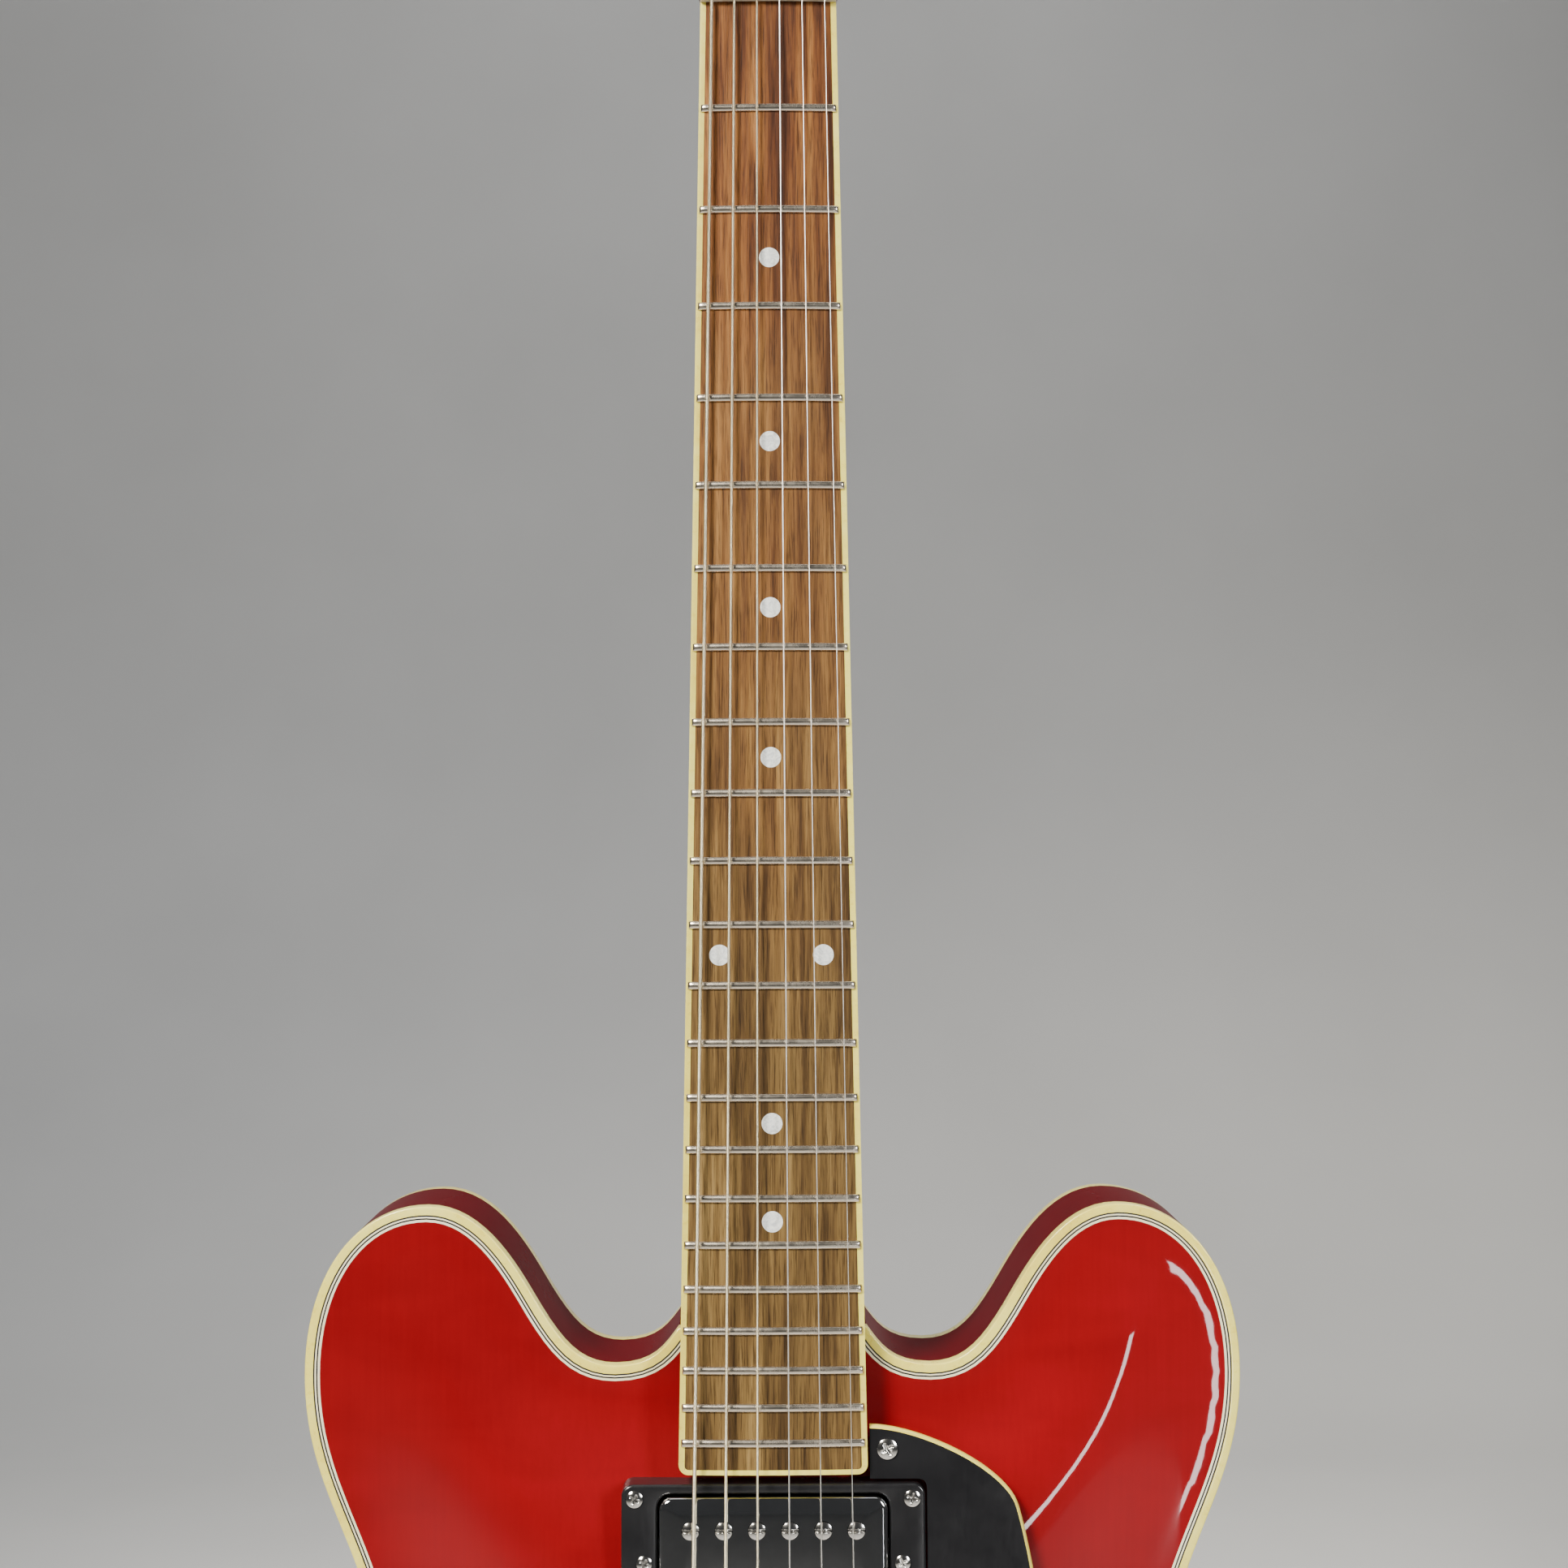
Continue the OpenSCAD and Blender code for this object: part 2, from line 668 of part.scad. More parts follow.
// A fret: a crown on a tang, bent to the board's radius, with bevelled ends.
crown_w = 2.6;
crown_h = 1.15;
crown_steps = 8;
fret_bevel = 0.5;
fret_end_gap = 0.8;
function crown_profile() = [for (k = [0:crown_steps]) let (a = 180 * k / crown_steps)
    [board_r + crown_h * sin(a), crown_w / 2 * cos(a)]];
function fret_profile() = concat(crown_profile(),
    [[board_r, -fret_slot_w / 2], [board_r - fret_tang, -fret_slot_w / 2],
     [board_r - fret_tang, fret_slot_w / 2], [board_r, fret_slot_w / 2]]);
module fret(n) {
    half = board_half(fret_w(n)) - fret_end_gap;
    sweep = asin(half / board_r);
    intersection() {
        translate([0, board_r, fret_w(n)]) rotate([0, 0, -90 - sweep]) rotate_extrude(angle = 2 * sweep)
            polygon(fret_profile());
        translate([0, 0, fret_w(n) - 5]) linear_extrude(10) polygon([
            [-half + 1.2 * fret_bevel, -3], [half - 1.2 * fret_bevel, -3], [half, crown_drop(half)],
            [half - board_binding_w, crown_drop(half) + 0.1], [half - board_binding_w, 6],
            [board_binding_w - half, 6], [board_binding_w - half, crown_drop(half) + 0.1],
            [-half, crown_drop(half)]]);
    }
}
module frets() color(NICKEL) {
    neck_frame() for (n = [1:fret_count]) fret(n);
}

module position_markers() {
    color(PEARL) neck_frame() intersection() {
        dots(dot_r, -2, dot_t);
        board_crown(board_r);
    }
    color(BLACK) neck_frame() side_dots();
}

nut_top_y = -2.4;
slot_gap = 0.15;
module nut_slot(i) {
    x = string_x(i, nut_spread);
    half = string_r[i] + slot_gap + 0.15;
    floor_y = crown_drop(x) - string_rise_nut + slot_gap;
    middle = scale_l + nut_t / 2;
    end = scale_l + nut_t + 1;
    translate([x - half, 0, 0]) rotate([90, 0, 90]) linear_extrude(2 * half)
        polygon([[floor_y, scale_l - 1], [floor_y, middle], [floor_y + (end - middle) * tan(head_angle), end],
            [-8, end], [-8, scale_l - 1]]);
}

module nut() color(CREAM) neck_frame() difference() {
    intersection() {
        translate([0, 0, scale_l]) linear_extrude(nut_t)
            translate([-nut_w / 2, nut_top_y]) square([nut_w, board_t - nut_top_y]);
        translate([0, board_r, 0]) cylinder(r = board_r - nut_top_y, h = 1400, center = true, $fn = 720);
    }
    for (i = [0:5]) nut_slot(i);
}

/* ---- Tuners ---- */

module headstock_screws() color(NICKEL) {
    head_frame() {
        for (p = truss_screw_at) translate([p[0], -truss_cover_t, p[1]]) cross_screw(2.2, 1, 0.9, 8);
        for (i = [0:5], side = [-1, 1]) let (p = tuner_at(i))
            translate([p[0] + side * 6, head_t + 1, p[1] + 10.4]) mirror([0, 1, 0]) cross_screw(1.9, 0.9, 0.85, 7);
    }
}

module housing_block(grow, y_front, y_back) {
    translate([0, 0, -2]) slab(y_front, y_back)
        rounded(2 * (housing_half + grow), 20.5 + 2 * grow, 3 + grow);
}
module tuner_housing(i) {
    p = tuner_at(i);
    translate([p[0], 0, p[1]]) difference() {
        union() {
            housing_block(0, head_t, head_t + housing_depth);
            translate([0, 0, 9.4]) slab(head_t, head_t + 1) rounded(16, 6, 2.5);
        }
        housing_block(-1, head_t + 1, head_t + housing_depth - 1);
        pin_y(0, 0, head_t - 1, head_t + 2, post_r + 0.06);
        translate([0, worm_y, -worm_drop]) rotate([0, 90, 0])
            cylinder(r = key_shaft_r + 0.06, h = 40, center = true);
        for (side = [-1, 1]) pin_y(side * 6, 10.4, head_t - 1, head_t + 2, 0.9);
    }
}
module tuner_housings() color(NICKEL) {
    head_frame() for (i = [0:5]) tuner_housing(i);
}

module tuner_bushings() color(NICKEL) {
    head_frame() for (i = [0:5]) let (p = tuner_at(i)) translate([p[0], 0, p[1]]) difference() {
        union() {
            pin_y(0, 0, 0, 6, bushing_r - 0.05);
            pin_y(0, 0, -1, 0, 6.2);
            translate([0, -1, 0]) rotate([90, 30, 0]) cylinder(r = 5.6, h = 2, $fn = 6);
        }
        pin_y(0, 0, -4, 7, post_r + 0.06);
    }
}

gear_steps = 8;
gear_points = [for (k = [0:gear_teeth * gear_steps - 1]) let (a = 360 * k / (gear_teeth * gear_steps))
    (gear_r - worm_wave * cos(gear_teeth * (a + 90))) * [cos(a), sin(a)]];
gear_t = 3;
module tuner_post(i) color(NICKEL) {
    p = tuner_at(i);
    head_frame() translate([p[0], 0, p[1]]) {
        difference() {
            union() {
                pin_y(0, 0, -3.6, worm_y, post_r);
                pin_y(0, 0, -10.5, -3.6, wrap_r);
                pin_y(0, 0, post_front, -10.5, post_r);
            }
            translate([0, -9, 0]) cylinder(r = 0.8, h = 10, center = true);
            translate([0, post_front - 0.1, 0]) rotate([-90, 0, 0]) cylinder(r1 = 1.6, r2 = 0.4, h = 1.2);
        }
        slab(worm_y - gear_t / 2, worm_y + gear_t / 2) polygon(gear_points);
    }
}

worm_sides = 10;
worm_rings_per_turn = 8;
worm_rings = worm_rings_per_turn * worm_l / worm_pitch;
worm_core_r = 1.3;
// The worm: a round thread whose centre winds about its axis, with a crest towards the gear.
module worm() {
    ring_solid([for (k = [0:worm_rings])
        let (x = worm_l * (k / worm_rings - 0.5), phase = 360 * x / worm_pitch)
        [for (j = [0:worm_sides - 1]) let (a = 360 * j / worm_sides)
            [x, worm_wave * sin(phase) + worm_r * cos(a), worm_wave * cos(phase) + worm_r * sin(a)]]]);
}
button_x = 25;
button_half = [9.2, 7];
button_t = 6.4;
button_power = 2.6;
button_points = [for (k = [0:35]) let (a = 10 * k)
    [button_half[0] * squircle(cos(a), button_power), button_half[1] * squircle(sin(a), button_power)]];
module tuner_key(i) color(NICKEL) {
    p = tuner_at(i);
    side = tuner_side(i);
    head_frame() translate([p[0], worm_y, p[1] - worm_drop]) {
        worm();
        rotate([0, 90 * side, 0]) {
            translate([0, 0, -housing_half]) cylinder(r = worm_core_r, h = 2 * housing_half);
            translate([0, 0, -housing_half]) cylinder(r = key_shaft_r, h = housing_half - worm_l / 2 - 0.4);
            translate([0, 0, worm_l / 2 + 0.4]) cylinder(r = key_shaft_r, h = button_x - worm_l / 2 - 6);
            translate([0, 0, housing_half + 0.3]) cylinder(r = 3.2, h = 1.6);
        }
        translate([side * button_x, button_t / 2, 0]) rotate([90, 0, 0])
            linear_extrude(button_t) polygon(button_points);
    }
}

/* ---- Strings ---- */

wrap_steps = 10;
string_sides = 6;
function wrap_path(i) =
    let (p = tuner_at(i), side = tuner_side(i), r = wrap_r + string_r[i] + wrap_gap)
    [for (k = [0:wrap_turns * wrap_steps]) let (a = 360 * k / wrap_steps)
        head_point(p[0] - side * r * cos(a), wrap_start_y + (2 * string_r[i] + 0.25) * k / wrap_steps,
            p[1] + r * sin(a))];
function tail_point(i, z) = [string_x(i, saddle_spread), tail_string_y, z];
ball_z = tail_z - 3;
function string_path(i) = concat(
    [tail_point(i, ball_z), tail_point(i, tail_z + 7), saddle_point(i), nut_point(i)], wrap_path(i));
module strings() color(NICKEL) {
    for (i = [0:5]) {
        tube(string_path(i), string_r[i], string_sides);
        translate(tail_point(i, ball_z - 3)) cylinder(r = 2, h = 3);
    }
}

/* ---- Bridge and tailpiece ---- */

bridge_w = 90;
bridge_depth = 12;
bridge_front = -49.8;
bridge_back = -43;
saddle_slot_w = 64;
saddle_slot_h = 8.4;
module bridge_base() color(NICKEL) {
    difference() {
        translate([0, 0, saddle_z - 1.8]) slab(bridge_front, bridge_back) rounded(bridge_w, bridge_depth, 5.9);
        translate([0, 0, saddle_z - 1.8]) slab(bridge_front - 1, bridge_back - 2)
            square([saddle_slot_w, saddle_slot_h], center = true);
        for (x = [-1, 1]) pin_y(x * bridge_post_x, saddle_z, -60, -40, bridge_stud_r + 0.06);
        for (i = [0:5]) translate([string_x(i, saddle_spread), saddle_screw_y, saddle_z - 20])
            cylinder(r = saddle_screw_r, h = 40);
    }
}

saddle_screw_y = -46.9;
saddle_screw_r = 1.2;
saddle_w = 8;
saddle_l = 4.5;
module bridge_saddles() color(NICKEL) {
    for (i = [0:5]) let (s = saddle_point(i)) difference() {
        translate([s[0], 0, s[2]]) rotate([90, 0, 90]) translate([0, 0, -saddle_w / 2]) linear_extrude(saddle_w)
            polygon([[bridge_back - 2.2, -saddle_l / 2], [bridge_back - 2.2, saddle_l / 2],
                [s[1] + 3.2, saddle_l / 2], [s[1] + string_r[i] + 0.06, 0.4],
                [s[1] + string_r[i] + 0.06, -0.4], [s[1] + 3.2, -saddle_l / 2]]);
        translate([s[0], saddle_screw_y, s[2] - 10]) cylinder(r = saddle_screw_r, h = 20);
    }
}

module saddle_screws() color(NICKEL) {
    head_z = saddle_z - 1.8 - bridge_depth / 2;
    for (i = [0:5]) translate([string_x(i, saddle_spread), saddle_screw_y, head_z - 1.6]) difference() {
        union() {
            cylinder(r = 2, h = 1.6);
            cylinder(r = saddle_screw_r - 0.05, h = bridge_depth + 1.4);
        }
        translate([0, 0, -0.5]) cube([5, 0.6, 2], center = true);
    }
}

bridge_stud_r = 2;
thumbwheel_r = 6.5;
knurls = 18;
module bridge_posts() color(NICKEL) {
    insert_front = top_y([bridge_post_x, saddle_z]);
    for (x = [-1, 1]) {
        pin_y(x * bridge_post_x, saddle_z, bridge_front - 0.3, -4, bridge_stud_r);
        difference() {
            pin_y(x * bridge_post_x, saddle_z, bridge_back + 0.05, bridge_back + 2.6, thumbwheel_r);
            pin_y(x * bridge_post_x, saddle_z, -60, -30, bridge_stud_r + 0.05);
            for (k = [0:knurls - 1]) translate([x * bridge_post_x, 0, saddle_z])
                rotate([0, 360 * k / knurls, 0]) pin_y(thumbwheel_r + 0.4, 0, -60, -30, 0.7);
        }
        difference() {
            pin_y(x * bridge_post_x, saddle_z, insert_front - 0.8, -6, bridge_insert_r);
            pin_y(x * bridge_post_x, saddle_z, -60, 0, bridge_stud_r + 0.05);
        }
    }
}

tail_w = 101;
tail_front = -46.6;
tail_back = -37.2;
tail_curve = [
    [[-8, -39], [-8, -44], [-5, tail_front], [0, tail_front]],
    [[0, tail_front], [5, tail_front], [8, -44], [8, -40]],
    [[8, -40], [8, -38], [7, tail_back], [5, tail_back]],
    [[5, tail_back], [2, tail_back], [-6, tail_back], [-8, -39]]
];
module tailpiece() color(NICKEL) {
    difference() {
        intersection() {
            translate([-tail_w / 2, 0, tail_z]) rotate([90, 0, 90]) linear_extrude(tail_w)
                polygon([for (p = curve(tail_curve, [6, 6, 3, 4])) [p[1], p[0]]]);
            translate([0, 0, tail_z]) slab(-60, -30) rounded(tail_w, 17, 8);
        }
        for (x = [-1, 1]) {
            pin_y(x * tail_stud_x, tail_z, -60, -30, 3.6);
            translate([x > 0 ? tail_stud_x : -tail_stud_x - 20, -60, tail_z - 3.6]) cube([20, 40, 7.2]);
        }
        for (i = [0:5]) {
            translate(tail_point(i, tail_z - 20)) cylinder(r = tail_hole_r, h = 40);
            translate(tail_point(i, tail_z - 20)) cylinder(r = 2.1, h = 20 - 3);
        }
    }
}

module tailpiece_studs() color(NICKEL) {
    for (x = [-1, 1]) translate([x * tail_stud_x, 0, tail_z]) {
        difference() {
            union() {
                pin_y(0, 0, tail_front - 2.2, tail_front, 6.6);
                pin_y(0, 0, tail_front, tail_back, 3.4);
                pin_y(0, 0, tail_back, tail_back + 1.4, 6.6);
                pin_y(0, 0, tail_back + 1.4, -6, 3.9);
            }
            box([-8, tail_front - 3, -0.8], [8, tail_front - 1.2, 0.8]);
        }
        difference() {
            union() {
                pin_y(0, 0, top_y([tail_stud_x, tail_z]) - 1, 4, insert_r - 0.05);
                pin_y(0, 0, top_y([tail_stud_x, tail_z]) - 1.1, top_y([tail_stud_x, tail_z]) - 0.1, 7);
            }
            pin_y(0, 0, -60, 3, 3.95);
        }
    }
}

/* ---- Pickups ---- */

// The frame of a pickup: its origin at the middle of the cover's face, tilted with the strings.
module pickup_frame(k) {
    translate([0, pickup_face_y[k], pickup_z[k]]) rotate([-pickup_tilt, 0, 0]) children();
}

function pole_x(i) = (i - 2.5) * pole_pitch;
pole_head_r = 2.6;
module pickup_cover(k) color(NICKEL) {
    pickup_frame(k) difference() {
        slab(0, cover_depth) rounded(cover_w, cover_h, cover_corner);
        slab(0.7, cover_depth + 1) rounded(cover_w - 1.4, cover_h - 1.4, cover_corner - 0.7);
        for (i = [0:5]) pin_y(pole_x(i), pole_side[k] * pole_offset, -1, 2, pole_head_r + 0.1);
    }
}
module neck_pickup_cover() pickup_cover(0);
module bridge_pickup_cover() pickup_cover(1);

// Two coils on bobbins, with the bar magnet between their feet.
bobbin_front = 1;
bobbin_back = 11;
module bobbin() {
    difference() {
        union() {
            slab(bobbin_front, bobbin_front + 1.5) rounded(66, 18, 6);
            slab(bobbin_front + 1.5, bobbin_back - 1.5) rounded(63, 15, 5);
            slab(bobbin_back - 1.5, bobbin_back) rounded(66, 18, 6);
        }
        for (i = [0:5]) pin_y(pole_x(i), 0, -1, 20, 2.5);
    }
}
module pickup_coils() color(BLACK) {
    for (k = [0, 1]) pickup_frame(k) {
        for (side = [-1, 1]) translate([0, 0, side * 9.6]) bobbin();
        box([-31, bobbin_back, -6.4], [31, bobbin_back + 3.2, 6.4]);
        for (i = [0:5]) pin_y(pole_x(i), -pole_side[k] * 9.6, bobbin_front, bobbin_back + 3, 2.45);
    }
}

module pickup_pole_screws() color(NICKEL) {
    for (k = [0, 1]) pickup_frame(k) for (i = [0:5])
        translate([pole_x(i), 0, pole_side[k] * pole_offset]) difference() {
            union() {
                intersection() {
                    pin_y(0, 0, -1.1, 0.7, pole_head_r);
                    translate([0, 3.1, 0]) sphere(4.2);
                }
                pin_y(0, 0, 0.7, 19, 1.5);
            }
            box([-3, -1.6, -0.35], [3, -0.4, 0.35]);
        }
}

baseplate_y = 14.3;
module pickup_baseplates() color(NICKEL) {
    for (k = [0, 1]) pickup_frame(k) difference() {
        slab(baseplate_y, baseplate_y + 1.2) {
            square([cover_w - 2, cover_h - 2], center = true);
            square([2 * height_screw_x + 8, 10], center = true);
        }
        for (i = [0:5]) pin_y(pole_x(i), pole_side[k] * pole_offset, 10, 20, 1.6);
        for (x = [-1, 1]) pin_y(x * height_screw_x, 0, 10, 20, 1.6);
    }
}

// The volume behind the arched top, as far forward as it reaches over a pickup ring's width.
ring_seat_steps = 8;
function ring_seat_y(z) = min(top_y([0, z]), top_y([ring_w / 4, z]), top_y([ring_w / 2, z])) - 0.1;
module ring_seat(k) {
    half = ring_h / 2 + 2;
    translate([-ring_w, 0, 0]) rotate([90, 0, 90]) linear_extrude(2 * ring_w) polygon(concat(
        [[10, pickup_z[k] + half], [10, pickup_z[k] - half]],
        [for (j = [0:ring_seat_steps]) let (z = pickup_z[k] + half * (2 * j / ring_seat_steps - 1))
            [ring_seat_y(z), z]]));
}

ring_front = ring_drop;
module pickup_ring(k) {
    difference() {
        pickup_frame(k) difference() {
            slab(ring_front, ring_front + 16) rounded(ring_w, ring_h, 3.5);
            slab(ring_front - 1, ring_front + 17) rounded(cover_w + 1.4, cover_h + 1.4, cover_corner);
            for (x = [-1, 1], z = [-1, 1]) pin_y(x * ring_screw_x, z * ring_screw_z, 0, 20, 1.5);
            for (x = [-1, 1]) pin_y(x * height_screw_x, 0, 0, 20, 1.6);
            for (x = [-1, 1]) box([x > 0 ? 36 : -44.2, ring_front + 2.4, -15], [x > 0 ? 44.2 : -36, 20, 15]);
        }
        ring_seat(k);
    }
}
module pickup_rings() color(BLACK) {
    for (k = [0, 1]) pickup_ring(k);
}

module pickup_ring_screws() color(NICKEL) {
    for (k = [0, 1]) pickup_frame(k) translate([0, ring_front, 0]) {
        for (x = [-1, 1], z = [-1, 1]) translate([x * ring_screw_x, 0, z * ring_screw_z])
            cross_screw(2.5, 1, 1.4, 18);
        for (x = [-1, 1]) translate([x * height_screw_x, 0, 0]) cross_screw(2.3, 1, 1.45, 19);
    }
}

spring_r = 2.5;
spring_wire_r = 0.35;
spring_turns = 4;
spring_steps = 7;
spring_sides = 5;
module pickup_springs() color(NICKEL) {
    for (k = [0, 1]) pickup_frame(k) for (x = [-1, 1])
        translate([x * height_screw_x, 0, 0]) tube(
            [for (j = [0:spring_turns * spring_steps]) let (a = 360 * j / spring_steps)
                [spring_r * cos(a), ring_front + 3 + (baseplate_y - ring_front - 3.6) * j / (spring_turns * spring_steps),
                 spring_r * sin(a)]],
            spring_wire_r, spring_sides);
}

/* ---- Pickguard ---- */

guard_tilt = 3;
guard_y = -32.4;
guard_z = 373;
guard_t = 2.4;
guard_edge_w = 1;
guard_curves = [
    [[29.3, 397.4], [29.3, 403], [29.3, 409], [29.3, 413.4]],
    [[29.3, 413.4], [44, 413.4], [71, 401], [74.5, 389]],
    [[74.5, 389], [78.5, 375], [82.5, 350], [82.5, 330]],
    [[82.5, 330], [82.5, 306], [80, 296], [72, 286]],
    [[72, 286], [66, 278.5], [58, 272], [52, 272]],
    [[52, 272], [47.6, 272], [46.6, 276], [46.6, 280]],
    [[46.6, 280], [46.6, 320], [46.6, 360], [46.6, 394]],
    [[46.6, 394], [46.6, 397.4], [45, 397.4], [42, 397.4]]
];
guard_outline = reversed(curve(guard_curves, [1, 8, 6, 6, 4, 4, 1, 3]));
guard_inset = inset(guard_outline, guard_edge_w);
// The bound edge runs between these points of the outline. It ends at the square corner beside the neck.
bound_from = 4;
bound_to = 31;
function bound_inner(k) = k == bound_to ? guard_outline[k] - [0, guard_edge_w] : guard_inset[k];
guard_plate = [for (k = [0:len(guard_outline) - 1])
    k >= bound_from && k <= bound_to ? bound_inner(k) : guard_outline[k]];
guard_screw_at = [34.6, 406.3];
module guard_frame() {
    translate([0, guard_y, guard_z]) rotate([-guard_tilt, 0, 0]) translate([0, 0, -guard_z]) children();
}
module pickguard() color(BLACK) {
    guard_frame() difference() {
        slab(-guard_t, 0) polygon(guard_plate);
        pin_y(guard_screw_at[0], guard_screw_at[1], -5, 5, 1.4);
    }
}
module pickguard_binding() color(CREAM) {
    guard_frame() slab(-guard_t, 0) polygon(concat(
        [for (k = [bound_from:bound_to]) guard_outline[k]],
        [for (k = [bound_to:-1:bound_from]) bound_inner(k)]));
}
module pickguard_bracket() color(NICKEL) {
    guard_frame() {
        translate([guard_screw_at[0], -guard_t, guard_screw_at[1]]) cross_screw(3.1, 1.2, 1.3, 12);
        box([66, 0.05, 307], [waist_half + 1.8, 1.25, 315]);
        box([waist_half + 0.6, 0.05, 307], [waist_half + 1.8, 24, 315]);
    }
}

/* ---- Controls ---- */

pot_front_l = 2.6;
pot_shaft_r = 3;
pot_shaft_l = 12;
module knob(i) color(BLACK) {
    control_frame(knob_at[i]) {
        rotate([90, 0, 0]) difference() {
            rotate_extrude() polygon([
                [pot_shaft_r, 3.8], [9.4, 3.8], [10.2, 1.3], [knob_r, 1.3], [knob_r, 2.8],
                [knob_r - 1.2, 4], [knob_r - 2.6, knob_h - 1.2], [knob_r - 3.6, knob_h],
                [0, knob_h], [0, pot_shaft_l], [pot_shaft_r, pot_shaft_l]]);
            translate([0, knob_r, knob_h]) cube([0.8, 5, 1.2], center = true);
        }
        pin_y(0, 0, -pot_shaft_l, 14, pot_shaft_r);
    }
}

module potentiometer() {
    difference() {
        union() {
            pin_y(0, 0, -2.9, 7, collar_r);
            pin_y(0, 0, 6.6, 16, 12);
            rotate([90, 0, 0]) cylinder(r = 7, h = 2.4, $fn = 6);
        }
        pin_y(0, 0, -10, 14.2, pot_shaft_r + 0.06);
    }
    for (x = [-4, 0, 4]) box([x - 0.8, 7.4, -18], [x + 0.8, 8.2, -11.6]);
}
module potentiometers() color(NICKEL) {
    for (p = knob_at) control_frame(p) potentiometer();
}

lever_tilt = 12;
lever_pivot_y = 3;
module toggle_switch() color(NICKEL) {
    control_frame(toggle_at) difference() {
        union() {
            pin_y(0, 0, -2.4, 10, 5.9);
            pin_y(0, 0, -2.3, -0.1, 9);
            box([-8, 9.6, -11], [8, 33, 11]);
        }
        translate([0, -3, 0]) rotate([-90, 0, 0]) cylinder(r1 = 4.2, r2 = 2.9, h = 4);
        pin_y(0, 0, -4, 14, 2.9);
        box([-3.5, 10, -7], [3.5, 24, 7]);
    }
}
module toggle_lever() color(CREAM) {
    control_frame(toggle_at) {
        pin_y(0, 0, -9, 17, 1.3);
        translate([0, lever_pivot_y, 0]) sphere(2.5);
        rotate([90, 0, 0]) rotate_extrude() polygon([[0, 6], [2, 6], [2.8, 9], [4.2, 14], [4.2, 17],
            [3.2, 19.2], [1.4, 20.2], [0, 20.4]]);
    }
}

jack_bore_r = 3.25;
// The nut rests on the arched top's higher sides.
jack_nut_lift = 0.6;
module output_jack() color(NICKEL) {
    control_frame(jack_at) difference() {
        union() {
            pin_y(0, 0, -2.8, 12, collar_r);
            translate([0, -jack_nut_lift, 0]) rotate([90, 0, 0]) cylinder(r = 7, h = 2.4, $fn = 6);
            pin_y(0, 0, 8.4, 9.6, 9);
            pin_y(0, 0, 9.6, 12, 7);
        }
        pin_y(0, 0, -5, 13, jack_bore_r);
    }
}

module strap_button() {
    rotate_extrude() polygon([[0, 0], [5.6, 0], [5.6, 1.4], [3.4, 3], [3.2, 6], [4, 8.4], [7, 9.6],
        [7, 11.4], [5.8, 12], [0, 12]]);
    translate([0, 0, -22]) cylinder(r = strap_screw_r, h = 23);
}
module strap_buttons() color(NICKEL) {
    mirror([0, 0, 1]) strap_button();
    translate([0, heel_button_y, heel_button_z]) rotate([-90, 0, 0]) strap_button();
}

/* ---- Wiring ---- */

wire_r = 1.2;
wire_routes = [
    [[40, wire_y, pickup_z[0]], [62, wire_y, pickup_z[0]], [80, -6, 340], [88, 0, 290], [92, 6, 230], [96, 4, 190], [98, -4, 166]],
    [[40, wire_y, pickup_z[1]], [62, wire_y, pickup_z[1]], [72, 0, 230], [70, 6, 180], [68, 4, 140], [66, -4, 116]],
    [[108, -4, 146], [120, 2, 146], [132, 4, 150], [138, 2, 160]],
    [[84, -4, 92], [96, 2, 84], [104, 2, 80]],
    [[84, -4, 108], [104, 4, 122], [116, 4, 132], [126, 0, 140]],
    [[84, 0, 84], [92, 4, 70], [96, 0, 58]]
];
function smooth(route, steps) = [for (i = [0:len(route) - 2]) for (k = [0:steps - 1])
    let (t = k / steps, a = route[max(i - 1, 0)], b = route[i], c = route[i + 1], d = route[min(i + 2, len(route) - 1)])
    0.5 * (2 * b + (c - a) * t + (2 * a - 5 * b + 4 * c - d) * t * t + (3 * b - a - 3 * c + d) * t * t * t)];
module wiring() color(BLACK) {
    for (route = wire_routes) tube(concat(smooth(route, 2), [route[len(route) - 1]]), wire_r, 6, [0, 1, 0.2]);
}

top_plate();
back_plate();
rim();
center_block();
linings();
top_binding();
top_purfling();
back_binding();
neck();
headstock_veneer();
truss_rod();
truss_rod_cover();
fingerboard();
fingerboard_binding();
frets();
position_markers();
nut();
headstock_screws();
tuner_housings();
tuner_bushings();
tuner_post(0);  // tuner_post_1
tuner_post(1);  // tuner_post_2
tuner_post(2);  // tuner_post_3
tuner_post(3);  // tuner_post_4
tuner_post(4);  // tuner_post_5
tuner_post(5);  // tuner_post_6
tuner_key(0);  // tuner_key_1
tuner_key(1);  // tuner_key_2
tuner_key(2);  // tuner_key_3
tuner_key(3);  // tuner_key_4
tuner_key(4);  // tuner_key_5
tuner_key(5);  // tuner_key_6
strings();
bridge_base();
bridge_saddles();
saddle_screws();
bridge_posts();
tailpiece();
tailpiece_studs();
neck_pickup_cover();
bridge_pickup_cover();
pickup_coils();
pickup_pole_screws();
pickup_baseplates();
pickup_rings();
pickup_ring_screws();
pickup_springs();
pickguard();
pickguard_binding();
pickguard_bracket();
knob(0);  // knob_1
knob(1);  // knob_2
knob(2);  // knob_3
knob(3);  // knob_4
potentiometers();
toggle_switch();
toggle_lever();
output_jack();
strap_buttons();
wiring();
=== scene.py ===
"""An electric guitar with an arched, double-cutaway, semi-hollow body.

Sizes are in millimetres, as in the CAD design, and build() writes every mesh in metres.
"""

import json
import math

import bmesh
import bpy
import numpy as np
from mathutils import Matrix, Vector
from mathutils.geometry import delaunay_2d_cdt


